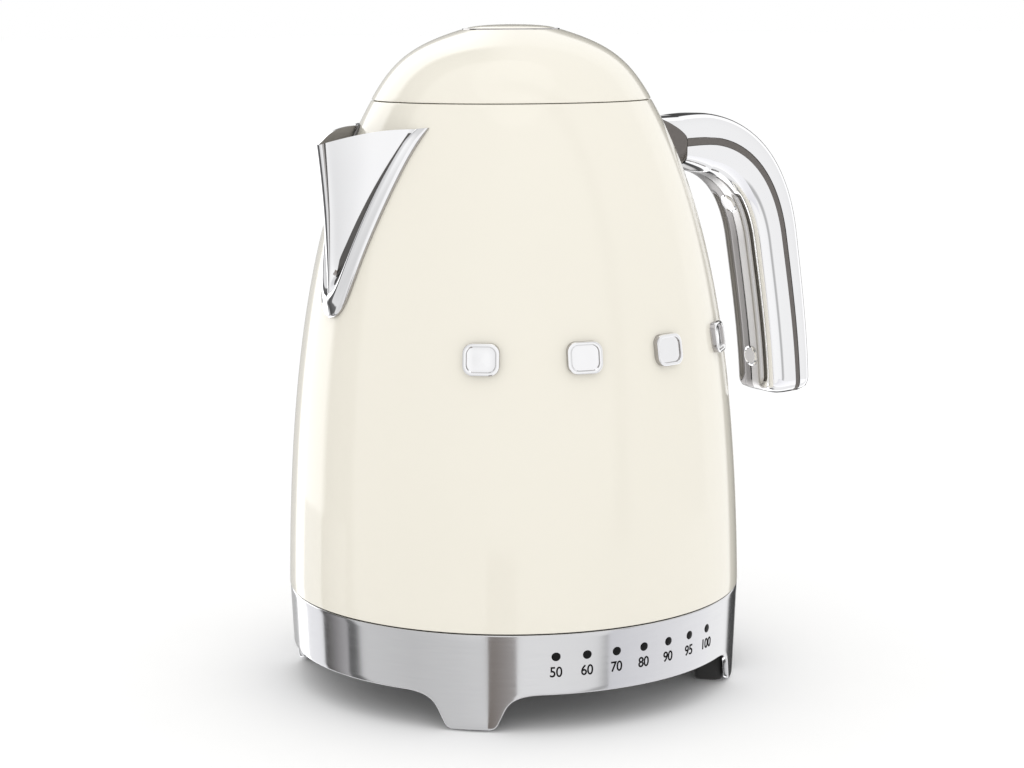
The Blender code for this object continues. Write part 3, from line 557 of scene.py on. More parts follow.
def make_levers():
    for name, angle in LEVERS.items():
        outline = [(0, LEVER_REACH + LEVER_BALL)]
        for i in range(1, 20):
            turn = math.radians(8 * i)
            outline.append((LEVER_BALL * math.sin(turn), LEVER_REACH + LEVER_BALL * math.cos(turn)))
        outline += [(1.5, LEVER_REACH - 3.6), (1.3, LEVER_REACH - 5), (1.3, 1.5), (0, 1.5)]
        lever = turned("lever", outline, 48)
        lever.transform(Matrix.Rotation(math.pi / 2, 4, "Y"))
        hub = rod("hub", 3.0, (0, -2.2, 0), (0, 2.2, 0))
        place = at(on_circle(LEVER_PIVOT[0], angle, LEVER_PIVOT[1]), angle - math.pi / 2)
        piece(f"{name}_ball_lever", merged("lever", lever, hub), f"{name}_lever", "chrome",
              [f"{name}_lever"], BASE_TURN, place)


# ------------------------------------------------------------------ jug

def make_body():
    outer = curve_points(BODY_CURVE, BODY_ROWS)
    inner = moved_inwards(outer, BODY_WALL)
    inner[0] = Vector((outer[0].x - BODY_WALL, outer[0].y))
    inner = [p for p in inner if p.x > MOUTH_RADIUS and p.y < 218.4]
    outline = list(reversed(outer)) + inner + [Vector((inner[-1].x, 218.6)), Vector((MOUTH_RADIUS, 218.6)),
                                              Vector((MOUTH_RADIUS, 219.6))]
    shell = turned("body_shell", rounded(outline, 0.45), FINE_ROUND, 40)
    opening = lofted("opening", [[(x, y, z) for y, z in
                                  ((14, 202), (3, 164), (-3, 164), (-14, 202))] for x in (-90, -40)])
    half, bottom, top = WINDOW
    slot = lofted("slot", [[(x, u, v + (top + bottom) / 2) for u, v in
                            rounded_box(half, (top - bottom) / 2, half * 0.96)] for x in (70, 95)])
    piece("jug_body", carved(shell, opening, slot), "jug", "cream", ["body_shell"])
    make_water_window()


def body_space():
    """The space inside the jug's outer face, to cut what stands on it."""
    outside = [(p.x + 0.25, p.y) for p in reversed(curve_points(BODY_CURVE, BODY_ROWS))]
    return turned("body_space", [(0, outside[0][1])] + outside + [(0, outside[-1][1])], FINE_ROUND)


def make_water_window():
    """A clear strip behind the slot under the handle, with a raised middle that fills the slot."""
    half, bottom, top = WINDOW
    rows = []
    for k in range(61):
        height = bottom - 3 + (top - bottom + 6) * k / 60
        across = [-6.8, -5.2, -4.7, -4.4, -3, -1.5, 0, 1.5, 3, 4.4, 4.7, 5.2, 6.8]
        front = []
        for y in across:
            reach = math.hypot(y, max(0, abs(height - (top + bottom) / 2) - (top - bottom) / 2 + half))
            raised = max(0.0, min(1.0, (half - 0.2 - reach) / 0.5))
            radius = body_radius(height) - 1.4 + 1.2 * raised
            front.append((math.sqrt(radius ** 2 - y ** 2), y, height))
        behind = body_radius(height) - 3.3
        back = [(math.sqrt(behind ** 2 - y ** 2), y, height) for y in reversed(across)]
        rows.append(front + back)
    piece("level_window", lofted("level_window", rows), "jug", "clear", ["water_window"])


def make_jug_inside():
    turned_piece("heating_plate", [
        (0, 53.6), (30, 53.6), (74, 53.4), (77, 52.9), (80, 53.2), (82.5, 54.5), (82.5, 52), (0, 52)],
        "jug", "steel", "heater_plate", corner=0.8, closed=False)
    turned_piece("floor_seal", [(84.7, 55), (84.7, 50.5), (82.8, 50.5), (82.8, 55)],
                 "jug", "silicone", "plate_seal", corner=0.6)
    probe = rod("probe", 2.4, (30, 0, 47), (30, 0, 60), edge=1.2)
    piece("probe", probe, "jug", "steel", ["temperature_probe"])
    turned_piece("jug_underside", [
        (85.1, 38.2), (85.1, 36.6), (83.3, 36.6), (83.3, 35.8), (58, 35.8), (57, 36.5), (40, 36.5),
        (39, 35.8), (26, 35.8), (24, 37.0), (13, 37.0), (13, 38.2)], "jug", "black", "jug_bottom_cover")
    turned_piece("jug_socket", [
        (0, 51.5), (24, 51.5), (24, 38.5), (14, 38.5), (12, 40), (12, 49.2), (0, 49.2)],
        "jug", "black", "jug_connector", corner=0.6, steps=96, closed=False)
    ring = turned("glide_ring_track", rounded([(65.4, 35.5), (65.4, 34), (60.6, 34), (60.6, 35.5)], 0.4))
    piece("glide_ring_track", ring, "glide_ring", "grey", ["glide_ring"])


def make_filter():
    """A frame with a fine steel mesh behind the spout."""
    outline, hole = rounded_box(17, 22.5, 3), rounded_box(14, 19.5, 2)
    rings = []
    for x, edge in ((-49.5, outline), (-46.5, outline), (-46.5, hole), (-49.5, hole)):
        rings.append([(x, u, v + 182.5) for u, v in edge])
    frame_mesh = lofted("filter_frame", rings, wrap_rows=True)
    piece("spout_filter_frame", frame_mesh, "jug", "grey", ["filter_frame"])

    def weave(made):
        for i in range(-14, 15):
            wire(made, (-48.05, i, 162.6), (-48.05, i, 202.4))
        for k in range(40):
            wire(made, (-47.95, -14.5, 163 + k), (-47.95, 14.5, 163 + k))
    piece("spout_filter_mesh", mesh_of("spout_filter_mesh", weave), "jug", "steel", ["filter_mesh"])


def wire(made, start, end):
    start, end = Vector(start), Vector(end)
    bmesh.ops.create_cone(made, cap_ends=True, segments=6, radius1=0.14, radius2=0.14,
                          depth=(end - start).length,
                          matrix=Matrix.Translation((start + end) / 2) @ aimed(end - start))


# ------------------------------------------------------------------ spout

SPOUT_LOW = (146.5, 148.0)          # heights at which its nose and its feet begin
FOOT_TOP = 210.9                    # height at which its feet end
WALL_COLUMNS = 29                   # columns of its wall from the nose to the painted shadow
SHADOW_COLUMNS = 3                  # columns of the spout's wall that get a painted shadow of the trim
SHADE_RANGE = (0.17, 0.985)         # how far up the spout that painted shadow reaches
CREASE_SHADE_COLUMNS = (29, 30)           # columns beside the nose with painted crease shade, the dark one and the less dark one


def nose_radius(height):
    rise = max(0.0, (height - NOSE_FOOT[1]) / (NOSE_TOP[1] - NOSE_FOOT[1]))
    return NOSE_FOOT[0] + (NOSE_TOP[0] - NOSE_FOOT[0]) * rise ** NOSE_BOW


def trim_inner_half(height):
    """Half width of the V inside the trim."""
    for (wide, high), (narrow, low) in zip(TRIM_INNER, TRIM_INNER[1:]):
        if height >= low:
            return max(0.6, narrow + (wide - narrow) * (height - low) / (high - low))
    return 0.6


def spout_section(t, inset):
    """Points from the near foot round the nose to the far foot, at a share t of the spout's height."""
    nose_height = SPOUT_LOW[0] + (NOSE_TOP[1] - SPOUT_LOW[0]) * t
    foot_height = SPOUT_LOW[1] + (FOOT_TOP - SPOUT_LOW[1]) * t
    nose = nose_radius(nose_height) - 1.4 * inset
    half_foot = trim_inner_half(foot_height) + 0.5 - 0.8 * inset
    foot = math.sqrt((body_radius(foot_height) + 0.35) ** 2 - half_foot ** 2)
    wide = min(2.1, 0.5 + 0.13 * half_foot) - 0.7 * inset
    curl = 0.5 * wide
    aim = math.atan2(half_foot, nose - foot)
    half = [(nose, 0.0), (nose - 0.05 * wide, 0.25 * (wide - curl))]
    half += [(nose - 0.1 * wide - curl + curl * math.cos(a), wide - curl + curl * math.sin(a))
             for a in ((math.pi / 2 - aim) * k / 8 for k in range(9))]
    start, end = Vector(half[-1]), Vector((foot, half_foot))
    length = (end - start).length
    across = Vector((end.y - start.y, start.x - end.x)).normalized()
    if across.y < 0:
        across = -across
    shadow = min(0.5, (2.1 + 2.6 * (1 - t) ** 1.3) / length)
    steps = [(1 - shadow) * (k / WALL_COLUMNS) ** 1.3 for k in range(1, WALL_COLUMNS + 1)]
    steps += [1 - shadow * (1 - k / SHADOW_COLUMNS) for k in range(1, SHADOW_COLUMNS + 1)]
    for s in steps:
        bulge = length * (0.03 + 0.03 * t) * math.sin(math.pi * s)
        waist = -0.35 * (1 - math.exp(-(s * length / 1.6) ** 2)) * (1 - s)
        swell = 1.3 * max(0.0, (s - 0.86) / 0.14) ** 2
        half.append(tuple(start.lerp(end, s) + across * (bulge + waist + swell)))
    section = []
    for x, y in [(x, -y) for x, y in reversed(half)] + half[1:]:
        share = min(1.0, max(0.0, (nose - x) / (nose - foot)))
        lift = 1.7 * t * math.sin(math.pi * share)
        section.append((-x, y, nose_height + (foot_height - nose_height) * share + lift))
    return section


def make_spout():
    count = 48
    outside = [spout_section(i / count, 0.0) for i in range(count + 1)]
    inside = [spout_section(i / count, 0.9 * min(1, 0.2 + 2 * i / count)) for i in range(count + 1)]

    def build(made):
        outer = [[made.verts.new(p) for p in row] for row in outside]
        inner = [[made.verts.new(p) for p in row] for row in inside]
        width = len(outer[0])
        for grid in (outer, inner):
            for low, high in zip(grid, grid[1:]):
                for i in range(width - 1):
                    made.faces.new((low[i], low[i + 1], high[i + 1], high[i]))
        for edge in (0, -1):
            for i in range(width - 1):
                made.faces.new((outer[edge][i], outer[edge][i + 1], inner[edge][i + 1], inner[edge][i]))
        for side in (0, -1):
            for low, high, low_in, high_in in zip(outer, outer[1:], inner, inner[1:]):
                made.faces.new((low[side], high[side], high_in[side], low_in[side]))
    mesh = mesh_of("spout", build, 40)
    piece("spout_channel", mesh, "jug", "chrome", ["spout"])
    add_finishes(mesh, "spout_inside", "painted_deep_shade_chrome", "painted_shade_chrome")
    # Painted shadow on the wall's columns beside the trim, and painted shade on the two crease columns beside
    # the nose.
    width, last = len(outside[0]), len(outside[0]) - 1
    for polygon in mesh.polygons:
        rows, columns = zip(*(divmod(v, width) for v in polygon.vertices))
        column = min(min(columns), last - max(columns))
        if min(rows) > count:
            polygon.material_index = 1
        elif max(rows) > count:
            continue
        elif column < SHADOW_COLUMNS and SHADE_RANGE[0] < max(rows) / count < SHADE_RANGE[1]:
            polygon.material_index = 2
        elif column in CREASE_SHADE_COLUMNS:
            polygon.material_index = 2 + CREASE_SHADE_COLUMNS.index(column)


def trim_line(controls):
    """(y, z) down the near side of the V, round its foot and up the far side."""
    half = catmull([Vector(p) for p in controls], 8)
    return half + [Vector((-p.x, p.y)) for p in reversed(half[:-1])]


def catmull(points, count):
    """A smooth line through the points."""
    made = []
    padded = [2 * points[0] - points[1], *points, 2 * points[-1] - points[-2]]
    for a, b, c, d in zip(padded, padded[1:], padded[2:], padded[3:]):
        for k in range(count):
            t = k / count
            made.append(0.5 * (2 * b + (c - a) * t + (2 * a - 5 * b + 4 * c - d) * t * t
                               + (3 * b - a - 3 * c + d) * t ** 3))
    return made + [points[-1]]


TRIM_PROFILE = [(0.0, -0.2), (0.0, 0.7), (0.03, 1.3), (0.09, 1.75), (0.2, 2.1), (0.32, 2.55), (0.42, 3.0),
                (0.52, 3.2), (0.62, 3.1), (0.75, 2.5), (0.88, 1.5), (0.97, 0.6), (1.0, -0.2)]
OUTER_SHADE, INNER_SHADE = 4, 7     # points of the band's profile that get painted shade on its outer flank and in its inner hollow


def make_trim():
    """A raised band on the jug: a steep outer flank, a rounded crest and a hollow towards the spout."""
    profile = catmull([Vector(p) for p in TRIM_PROFILE], 3)
    outer, inner = trim_line(TRIM_OUTER), trim_line(TRIM_INNER)
    rows = []
    for i, (start, end) in enumerate(zip(outer, inner)):
        end_share = min(1.0, min(i, len(outer) - 1 - i) / 5)
        rise = math.sin(math.pi / 2 * (0.35 + 0.65 * end_share))
        row = []
        for across, height in profile:
            spot = start.lerp(end, across)
            radius = body_radius(spot.y) + 0.3 + height * rise
            row.append((-math.sqrt(radius ** 2 - spot.x ** 2), spot.x, spot.y))
        rows.append(row)
    mesh = lofted("spout_trim_band", rows)
    piece("spout_trim_band", mesh, "jug", "chrome", ["spout_trim"])
    add_finishes(mesh, "painted_deep_shade_chrome", "painted_shade_chrome")
    # Painted shade: a lighter shade on the outer flank and a dark one in the hollow towards the spout.
    for polygon in mesh.polygons:
        columns = [v % len(profile) for v in polygon.vertices]
        if max(columns) - min(columns) > 1:
            continue
        if min(columns) < OUTER_SHADE:
            polygon.material_index = 2
        elif min(columns) >= len(profile) - INNER_SHADE:
            polygon.material_index = 1


# ------------------------------------------------------------------ handle

def handle_stations(count, first=0):
    """Points along the handle's core, their outward normals and their share of the way from the collar."""
    points = []
    for controls in HANDLE_PATH[first:]:
        points += curve_points(controls, count)[(1 if points else 0):]
    root = (1 - first) * count
    stations = []
    for i, point in enumerate(points):
        along = (points[min(i + 1, len(points) - 1)] - points[max(i - 1, 0)]).normalized()
        share = max(0.0, (i - root) / (len(points) - 1 - root))
        stations.append((point, Vector((-along.y, along.x)), share))
    return stations


def blend(values, t):
    start, middle, end = values
    first = start + (middle - start) * math.sin(math.pi / 2 * min(1, 2 * t)) ** 1.2
    return first if t < 0.5 else middle + (end - middle) * (2 * t - 1)


def end_inset(point, reach=5.0):
    """How far a section draws in near the handle's closed end."""
    below = max(0.0, 1 - (point.y - HANDLE_PATH[-1][-1][1]) / reach)
    return 4.2 * (1 - math.sqrt(max(0.0, 1 - below ** 2)))


def groove_depth(across, t, height):
    """Two shallow channels down the grip's inner face."""
    ends = min(max((188.5 - height) / 4, 0), 1) * min(max((height - 100.5) / 3, 0), 1) if t > 0.4 else 0.0
    return GROOVE_DEPTH * ends * math.exp(-((abs(across) - GROOVE_ACROSS) / GROOVE_HALF_WIDTH) ** 4)


SHELL_STEPS = 96                    # steps round the outside of a grip shell
GRIP_POWER, GROOVED_POWER = 0.62, 0.5           # a smaller power makes a squarer section


def shell_rows(depths, side, grooved, count=36):
    rows = []
    power = GROOVED_POWER if grooved else GRIP_POWER
    angles = [math.pi * k / SHELL_STEPS for k in range(SHELL_STEPS + 1)]
    if grooved:             # more points, evenly spaced across the middle, for the grooves
        angles += [math.acos(math.copysign(abs(k / 30) ** (1 / power), k)) for k in range(-21, 22) if k]
        angles.sort()
    for point, normal, t in handle_stations(count):
        inset = end_inset(point)
        depth = max(blend(depths, t) - inset, 0.6)
        width = HANDLE_HALF_WIDTH - 0.8 * inset
        start = CORE_THICKNESS[0] / 2 + (CORE_THICKNESS[1] - CORE_THICKNESS[0]) / 2 * t + 0.15
        row = []
        for angle in angles:
            across = width * squared(math.cos(angle), power)
            out = start + depth * squared(math.sin(angle), power)
            if grooved:
                out -= groove_depth(across, t, point.y) * min(1.0, math.sin(angle) * 2)
            spot = point + side * out * normal
            row.append([spot.x, across, spot.y])
        for across in (-0.6, 0.6):
            spot = point + side * start * normal
            row.append([spot.x, across * width, spot.y])
        for spot in row:
            spot[0] = max(spot[0], collar_front(spot[2]) + 0.05)
        rows.append(row)
    return rows


CORE_TOP = 203.0                    # height at which the collar's front begins to lean back
COLLAR_ROOT, COLLAR_FRONT = 45, 73.5
COLLAR_HOLLOW = 13.5                # how far its front leans back at the top


def collar_front(height):
    """x of the collar's front edge: upright below the core, then a hollow curve back to the top."""
    above = max(0.0, (height - CORE_TOP) / (COLLAR_TOP - CORE_TOP))
    return COLLAR_FRONT - COLLAR_HOLLOW * min(1.0, above) ** 1.4


def make_handle():
    outer = lofted("handle_outer", shell_rows(OUTER_DEPTHS, 1, False), sharp=50)
    piece("handle_outer", outer, "jug", "chrome", ["handle_outer_shell"])
    inner = lofted("handle_inner", shell_rows(INNER_DEPTHS, -1, True), sharp=50)
    piece("handle_inner", inner, "jug", "chrome", ["handle_inner_shell"])
    paint_shade_on_grip(inner)
    rows = []
    for point, normal, t in handle_stations(36, first=1):
        half = (CORE_THICKNESS[0] + (CORE_THICKNESS[1] - CORE_THICKNESS[0]) * t) / 2
        width = HANDLE_HALF_WIDTH - 0.25 - 0.75 * end_inset(point)
        rows.append([((point + side * half * normal).x, across * width, (point + side * half * normal).y)
                     for side, across in ((1, 1), (1, -1), (-1, -1), (-1, 1))])
    piece("handle_core_strip", lofted("handle_core_strip", rows), "jug", "grey", ["handle_core"])
    make_caps()
    make_collar()


GROOVE_SHADE_HEIGHTS = (101.5, 187.0)     # heights between which the groove and the middle line get dark painted shade


def paint_shade_on_grip(mesh):
    """Painted shade on the face towards the jug: dark in the near groove and on the middle line, and a paler
    or a darker painted shade on each side of the middle."""
    add_finishes(mesh, "painted_dark_shade_face", "painted_pale_shade_face", "painted_deep_shade_chrome", "painted_shade_chrome")
    stations = handle_stations(36, first=1)
    for polygon in mesh.polygons:
        centre = polygon.center / MM
        _, normal, t = min(stations, key=lambda s: (s[0].x - centre.x) ** 2 + (s[0].y - centre.z) ** 2)
        inwards = -(polygon.normal.x * normal.x + polygon.normal.z * normal.y)
        grooved = GROOVE_SHADE_HEIGHTS[0] < centre.z < GROOVE_SHADE_HEIGHTS[1] and t > 0.4
        if inwards < 0.6:
            continue
        if grooved and (abs(-centre.y - GROOVE_ACROSS + 0.2) < 0.8 or abs(centre.y - 0.3) < 0.4):
            polygon.material_index = 3
        elif centre.y > 0:
            polygon.material_index = 1
        elif centre.y > -GROOVE_ACROSS:
            polygon.material_index = 2 if t > 0.3 else 4


def make_caps():
    for name, aim in CAP_POINTS.items():
        point, normal, t = min(handle_stations(36), key=lambda s: (s[0] - Vector(aim)).length)
        spot = point - normal * (1.65 - 0.5 * t + blend(INNER_DEPTHS, t))
        cap = turned("cap", [
            (0, 0.5), (CAP_FACE, 0.5), (CAP_RADIUS - 0.9, 0.1), (CAP_RADIUS - 0.7, 0.1),
            (CAP_RADIUS - 0.45, 0.62), (CAP_RADIUS, 0.35), (CAP_RADIUS, -1.6), (0, -1.6)], 64)
        place = at((spot.x, 0, spot.y)) @ aimed(Vector((-normal.x, 0, -normal.y)))
        piece(f"cap_{name}", cap, "jug", "chrome", [f"screw_cap_{name}"], place=place)
        # The face inside the cap's ring gets a paler painted shade.
        add_finishes(cap, "painted_pale_shade_face")
        for polygon in cap.polygons:
            if math.hypot(polygon.center.x, polygon.center.y) < CAP_FACE * MM:
                polygon.material_index = 1


def make_collar():
    middle, half_height = (COLLAR_TOP + COLLAR_BOTTOM) / 2, (COLLAR_TOP - COLLAR_BOTTOM) / 2
    outline = []
    for i in range(120):
        angle = 2 * math.pi * (i + 0.5) / 120
        outline.append(((HANDLE_HALF_WIDTH - 0.1) * squared(math.cos(angle), GRIP_POWER),
                        middle + half_height * squared(math.sin(angle), GRIP_POWER)))
    rows = [[(COLLAR_ROOT, y, z) for y, z in outline]]
    for share in (0.2, 0.4, 0.6, 0.8, 1.0):
        rows.append([(COLLAR_ROOT + (collar_front(z) - COLLAR_ROOT) * share, y, z) for y, z in outline])
    collar = lofted("collar", rows)
    piece("handle_collar_block", carved(collar, body_space()), "jug", "grey", ["handle_collar"])


# ------------------------------------------------------------------ ornament

def make_badges():
    """Four plain raised studs with a rim, in the places of the ornament."""
    for i, angle in enumerate(BADGE_ANGLES):
        rings = []
        for height, scale in ((-0.4, 1.0), (1.5, 1.0), (1.95, 0.975), (2.1, 0.93), (2.1, 0.84), (1.95, 0.80),
                              (1.3, 0.77), (1.2, 0.72), (1.25, 0.4), (1.3, 0.05)):
            ring = []
            for u, v in rounded_box(6.4, 5.6, 3.4, 8):
                z = BADGE_HEIGHT + v * scale
                radius = body_radius(z)
                ring.append(on_circle(radius + height, angle + u * scale / radius, z))
            rings.append(ring)
        mesh = lofted("stud", rings)
        piece(f"stud_{i + 1}", mesh, "jug", "chrome", [f"badge_{i + 1}"])
        # The studs' side flanks get painted shade.
        add_finishes(mesh, "painted_shade_chrome")
        outward = on_circle(1, angle, 0.25).normalized()
        for polygon in mesh.polygons:
            polygon.material_index = 1 if polygon.normal.dot(outward) < 0.5 else 0


# ------------------------------------------------------------------ lid and hinge

def make_lid():
    outer = curve_points(DOME_CURVE, 48)
    inner = moved_inwards(outer, LID_WALL)
    outer[0].y -= LID_SEAM
    inner[0] = Vector((inner[0].x, outer[0].y))
    inner[-1] = Vector((outer[-1].x, inner[-1].y))
    dome = turned("dome", rounded(list(reversed(outer)) + inner, 0.45), FINE_ROUND, 40)
    notch = block("notch", (45, LEAF_SIDES[0] - 0.5, 215), (56, LEAF_SIDES[1] + 0.5, 223.7), 0.2)
    piece("lid_dome", carved(dome, notch), "lid", "cream", ["lid_cover"])
    # The ring round the button is chrome darkened with painted shade.
    turned_piece("button_surround", [(18.3, 245.95), (18.3, 240), (17.25, 240), (17.25, 245.95)],
                 "lid", "painted_shade_chrome", "button_ring", corner=0.3)
    button = [(0, BUTTON_TOP - 0.5), (4, 247.45), (8, 247.3), (11, 247.05), (14, 246.7), (15.8, 246.3),
              (16.6, 245.95), (BUTTON_RADIUS, 245.4), (BUTTON_RADIUS, 240.5), (15.4, 240.5), (15.4, 243.6),
              (4, 243.6), (4, 225), (0, 225)]
    piece("button_disc", turned("button_disc", button), "lid_button", "cream", ["lid_button"])
    turned_piece("lid_seal_ring", [(51.6, 220.5), (51.6, 219.8), (46.8, 219.8), (46.8, 220.5)],
                 "lid", "silicone", "lid_seal", corner=0.3)
    make_liner()
    make_hinge()


def make_liner():
    liner = turned("liner", rounded([
        (9, 232), (9, 222.5), (48.6, 222.5), (48.6, 221.0), (42, 221.0), (41, 221.6), (14, 221.6),
        (12, 221.0), (5, 221.0), (5, 232)], 0.5))
    x = HINGE[0]
    leaf = block("leaf", (42, LEAF_SIDES[0], 221.1), (x, LEAF_SIDES[1], 222.4), 0.2)
    slot = block("slot", (-LATCH_TOE - 0.6, -3.4, 215), (-39, 3.4, 225), 0.3)
    liner = carved(liner, slot)
    knuckle = knuckle_mesh(LEAF_SIDES[0], LEAF_SIDES[1])
    piece("lid_inner_plate", merged("lid_inner_plate", liner, leaf, knuckle), "lid", "grey", ["lid_liner"])
    bar = block("bar", (-LATCH_TOE, -3, 222.8), (-18, 3, 226.6), 0.4)
    hook = block("hook", (-LATCH_TOE, -3, 216.8), (-43.4, 3, 223.5), 0.4)
    piece("latch_slider", merged("latch_slider", bar, hook), "lid_latch", "black", ["lid_latch"])


def knuckle_mesh(start, end):
    """A hinge barrel with a bore for the pin."""
    outline = rounded([(KNUCKLE_RADIUS, end - start), (KNUCKLE_RADIUS, 0), (PIN_RADIUS + 0.2, 0),
                       (PIN_RADIUS + 0.2, end - start)], 0.25)
    knuckle = turned("knuckle", outline, 40)
    x, z = HINGE
    place = at((x, start, z), -math.pi / 2, "X")
    knuckle.transform(place)
    return knuckle


def make_hinge():
    near, far = LUG_FACES
    x, z = HINGE
    lugs = [knuckle_mesh(near, far), knuckle_mesh(-far, -near)]
    for low, high in ((near, far), (-far, -near)):
        lugs.append(block("lug", (53.0, low, 213.8), (x + KNUCKLE_RADIUS, high, z - 1.6), 0.3))
    lugs.append(block("foot", (53.0, -far, 213.8), (x + KNUCKLE_RADIUS, far, 217.2), 0.4))
    body = body_space()
    pieces = [carved(lug, body) for lug in lugs]
    piece("hinge_lugs", merged("hinge_lugs", *pieces), "jug", "chrome", ["hinge_bracket"])
    pin = rod("pin", PIN_RADIUS, (x, -far - 0.8, z), (x, far + 0.8, z), edge=0.3)
    piece("hinge_pin", pin, "jug", "steel", ["lid_hinge_pin"])


# ------------------------------------------------------------------ the CAD nodes that stay

KEPT = {
    "steel": ["heating_element", "lid_spring", "button_spring", "latch_spring", "handle_screw_1",
              "handle_screw_2", "cover_screw_1", "cover_screw_2", "cover_screw_3", "start_lever_pin",
              "temperature_lever_pin"],
    "black": ["start_lever_bracket", "temperature_lever_bracket"],
    "board": ["control_board"],
}


def dress_kept_nodes():
    for finish, names in KEPT.items():
        for name in names:
            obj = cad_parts[name]
            obj.data.materials.clear()
            add_finishes(obj.data, finish)


# ------------------------------------------------------------------ studio

def make_floor():
    mesh = bpy.data.meshes.new("floor")
    size = 30.0
    corners = [(-size, -size, 0), (size, -size, 0), (size, size, 0), (-size, size, 0)]
    mesh.from_pydata(corners, [], [(0, 1, 2, 3)])
    floor = placed("floor", mesh)
    mesh.materials.append(finish_of(
        "floor_paper", (0.93, 0.93, 0.93), (0.95, 0.95, 0.95), 0.9, 0.05, 20, 0.02,
        {"sockets": {"Specular IOR Level": 0.0}}))
    floor.visible_glossy = False


def floor_card(name, start, end, shades):
    """A strip on the floor that only reflections see; its long edges run along the base's own reflections."""
    rows = []
    steps = 12
    for k in range(steps + 1):
        angle = math.radians(start + (end - start) * k / steps)
        out = 2 * angle
        view = -math.radians(CAMERA_AZIMUTH)
        foot = on_circle(BASE_RADIUS + 0.5, angle + view, 0.4)
        rows.append((foot, foot + on_circle(420, out + view, 0.0)))
    mesh = bpy.data.meshes.new(name)
    points = [p * MM + AXIS for row in rows for p in row]
    faces = [(2 * k, 2 * k + 1, 2 * k + 3, 2 * k + 2) for k in range(steps)]
    mesh.from_pydata(points, [], faces)
    colours = mesh.color_attributes.new("shade", "FLOAT_COLOR", "POINT")
    for k in range(steps + 1):
        t = k / steps
        shade = [a + (b - a) * t for a, b in zip(*shades)]
        for side in (0, 1):
            colours.data[2 * k + side].color = (*shade, 1)
    material = bpy.data.materials.new(name)
    material.use_nodes = True
    nodes, links = material.node_tree.nodes, material.node_tree.links
    nodes.clear()
    glow, output = nodes.new("ShaderNodeEmission"), nodes.new("ShaderNodeOutputMaterial")
    attribute = nodes.new("ShaderNodeAttribute")
    attribute.attribute_name = "shade"
    links.new(attribute.outputs["Color"], glow.inputs["Color"])
    links.new(glow.outputs["Emission"], output.inputs["Surface"])
    mesh.materials.append(material)
    card = placed(name, mesh)
    card.visible_camera = card.visible_diffuse = card.visible_shadow = card.visible_transmission = False


def make_studio():
    make_floor()
    floor_card("card_far_left", -66.8, -56.9, ((1.1, 1.1, 1.12), (1.1, 1.1, 1.12)))
    floor_card("card_left", -56.9, -46.5, ((0.06, 0.055, 0.05), (0.55, 0.54, 0.55)))
    floor_card("card_front", -6.6, 0.6, ((0.24, 0.21, 0.19), (0.45, 0.43, 0.42)))
    floor_card("card_right", 24, 58.9, ((0.85, 0.85, 0.88), (1.15, 1.15, 1.16)))
    make_world()
    area_light("top_box", (-200, -350, 1500), (0, 0, 120), 1200, 1.5)


# Brightness seen in reflections, by degrees away from the camera's side: on the left and on the right.
LEFT_SKY = [(0, 1.03), (12, 1.02), (42, 0.78), (60, 0.72), (88, 0.80), (91, 0.16), (111, 0.08), (116, 2.0),
            (146, 2.2), (151, 0.55), (168, 0.55), (172, 0.12), (180, 0.12)]
RIGHT_SKY = [(0, 1.03), (40, 1.0), (52, 0.97), (56, 0.5), (60, 0.5), (64, 0.95), (112, 0.9), (118, 1.15),
             (143, 1.15), (147, 0.08), (163, 0.06), (168, 0.95), (180, 0.95)]
SIDE_CHANGE = (-0.25, 0.05)        # where the left sky gives way to the right one
AROUND, SEEN = 1.08, 1.0           # brightness for matt surfaces, and behind the kettle


def ramp(tree, stops, share):
    """Brightness by angle, from stops of (degrees, brightness)."""
    node = tree.nodes.new("ShaderNodeValToRGB")
    elements = node.color_ramp.elements
    while len(elements) > 1:
        elements.remove(elements[-1])
    for index, (angle, shade) in enumerate(stops):
        element = elements[0] if index == 0 else elements.new(angle / 180)
        element.position = angle / 180
        element.color = (shade, shade, shade, 1)
    tree.links.new(share, node.inputs["Fac"])
    return node.outputs["Color"]


def mixed(tree, kind, sockets, *sources):
    """The result of a mixing node, from its factor and its two sources."""
    node = new_node(tree, kind)
    for socket, source in zip(sockets, sources):
        tree.links.new(source, node.inputs[socket])
    return node.outputs["Result" if kind == "ShaderNodeMix" else 0]


def backdrop(tree, strength, colour=None):
    node = new_node(tree, "ShaderNodeBackground", Color=(1, 1, 1, 1), Strength=strength)
    if colour:
        tree.links.new(colour, node.inputs["Color"])
    return node.outputs["Background"]


def ray_along(tree, where, direction):
    """How far the direction of a ray lies along another."""
    node = tree.nodes.new("ShaderNodeVectorMath")
    node.operation = "DOT_PRODUCT"
    node.inputs[1].default_value = direction
    tree.links.new(where.outputs["Generated"], node.inputs[0])
    return node.outputs["Value"]


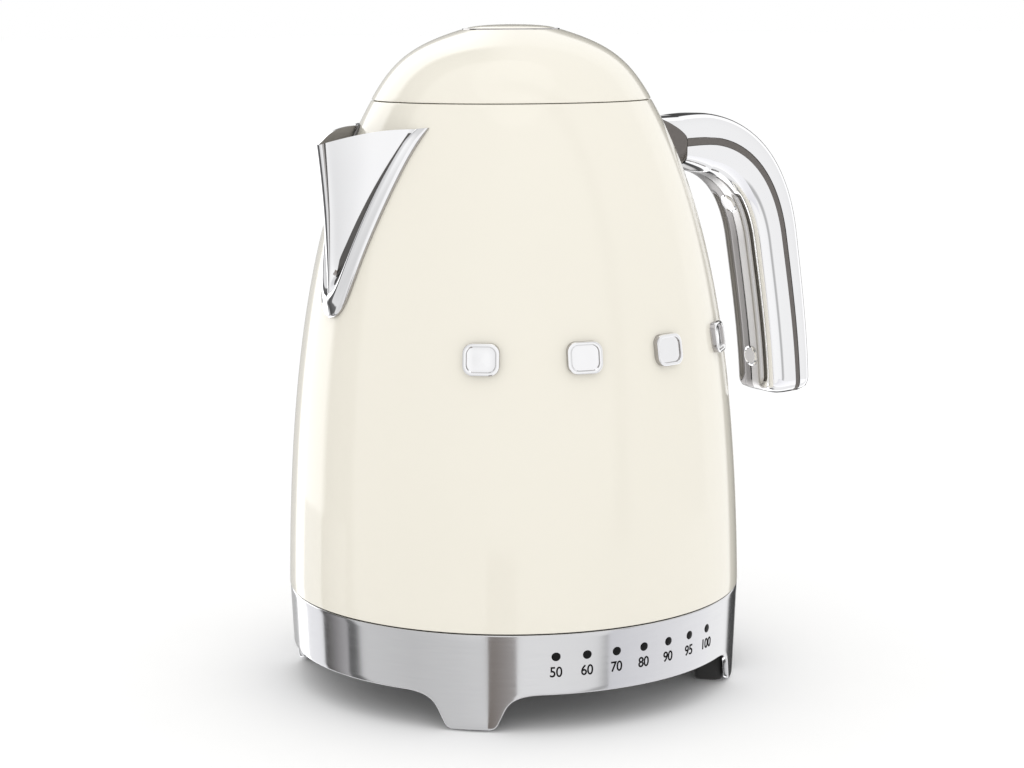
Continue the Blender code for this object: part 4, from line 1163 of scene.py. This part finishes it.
def sky_bands(tree):
    """The banded studio that polished surfaces see, by the angle between the ray and the camera's side."""
    where = tree.nodes.new("ShaderNodeTexCoord")
    towards, tilt = -math.radians(CAMERA_AZIMUTH), math.radians(CAMERA_TILT)
    angle, share = tree.nodes.new("ShaderNodeMath"), tree.nodes.new("ShaderNodeMath")
    angle.operation, share.operation = "ARCCOSINE", "DIVIDE"
    facing = on_circle(math.cos(tilt), towards, math.sin(tilt))
    tree.links.new(ray_along(tree, where, facing), angle.inputs[0])
    tree.links.new(angle.outputs["Value"], share.inputs[0])
    share.inputs[1].default_value = math.pi
    side = tree.nodes.new("ShaderNodeMapRange")
    side.interpolation_type = "SMOOTHSTEP"
    side.inputs["From Min"].default_value, side.inputs["From Max"].default_value = SIDE_CHANGE
    tree.links.new(ray_along(tree, where, on_circle(1, towards + math.pi / 2, 0)), side.inputs["Value"])
    skies = [ramp(tree, stops, share.outputs["Value"]) for stops in (LEFT_SKY, RIGHT_SKY)]
    return mixed(tree, "ShaderNodeMix", ("Factor", "A", "B"), side.outputs["Result"], *skies)


def make_world():
    """Even white light for the floor and the matt parts, and a banded studio for what is polished."""
    world = bpy.data.worlds.new("studio")
    bpy.context.scene.world = world
    world.use_nodes = True
    tree = world.node_tree
    path = tree.nodes.new("ShaderNodeLightPath")
    polished = mixed(tree, "ShaderNodeMixShader", (0, 1, 2), path.outputs["Is Glossy Ray"],
                     backdrop(tree, AROUND), backdrop(tree, 1.0, sky_bands(tree)))
    shown = mixed(tree, "ShaderNodeMixShader", (0, 1, 2), path.outputs["Is Camera Ray"], polished,
                  backdrop(tree, SEEN))
    tree.links.new(shown, tree.nodes["World Output"].inputs["Surface"])
    tree.nodes.remove(tree.nodes["Background"])


def area_light(name, place, aim, size, power):
    light = bpy.data.lights.new(name, "AREA")
    light.shape = "DISK"
    light.size = size * MM
    light.energy = power
    lamp = placed(name, light)
    lamp.location = Vector(place) * MM + AXIS
    lamp.rotation_euler = (Vector(aim) - Vector(place)).to_track_quat("-Z", "Y").to_euler()
    lamp.visible_camera = False


def make_camera():
    camera = placed("camera", bpy.data.cameras.new("camera"))
    camera.data.lens = CAMERA_LENS
    camera.location = on_circle(CAMERA_DISTANCE, -math.radians(CAMERA_AZIMUTH), CAMERA_HEIGHT) * MM + AXIS
    pan = Matrix.Rotation(-math.radians(CAMERA_PAN), 4, "Z")
    tilt = Matrix.Rotation(math.radians(90 - CAMERA_TILT), 4, "X")
    roll = Matrix.Rotation(-math.radians(CAMERA_ROLL), 4, "Z")
    camera.rotation_euler = (pan @ tilt @ roll).to_euler()
    bpy.context.scene.camera = camera
    bpy.context.scene.view_settings.view_transform = "Standard"


FINISHES = make_finishes()
make_base_housing()
make_scale()
make_base_inside()
make_levers()
make_body()
make_jug_inside()
make_filter()
make_spout()
make_trim()
make_handle()
make_badges()
make_lid()
dress_kept_nodes()
make_studio()
make_camera()
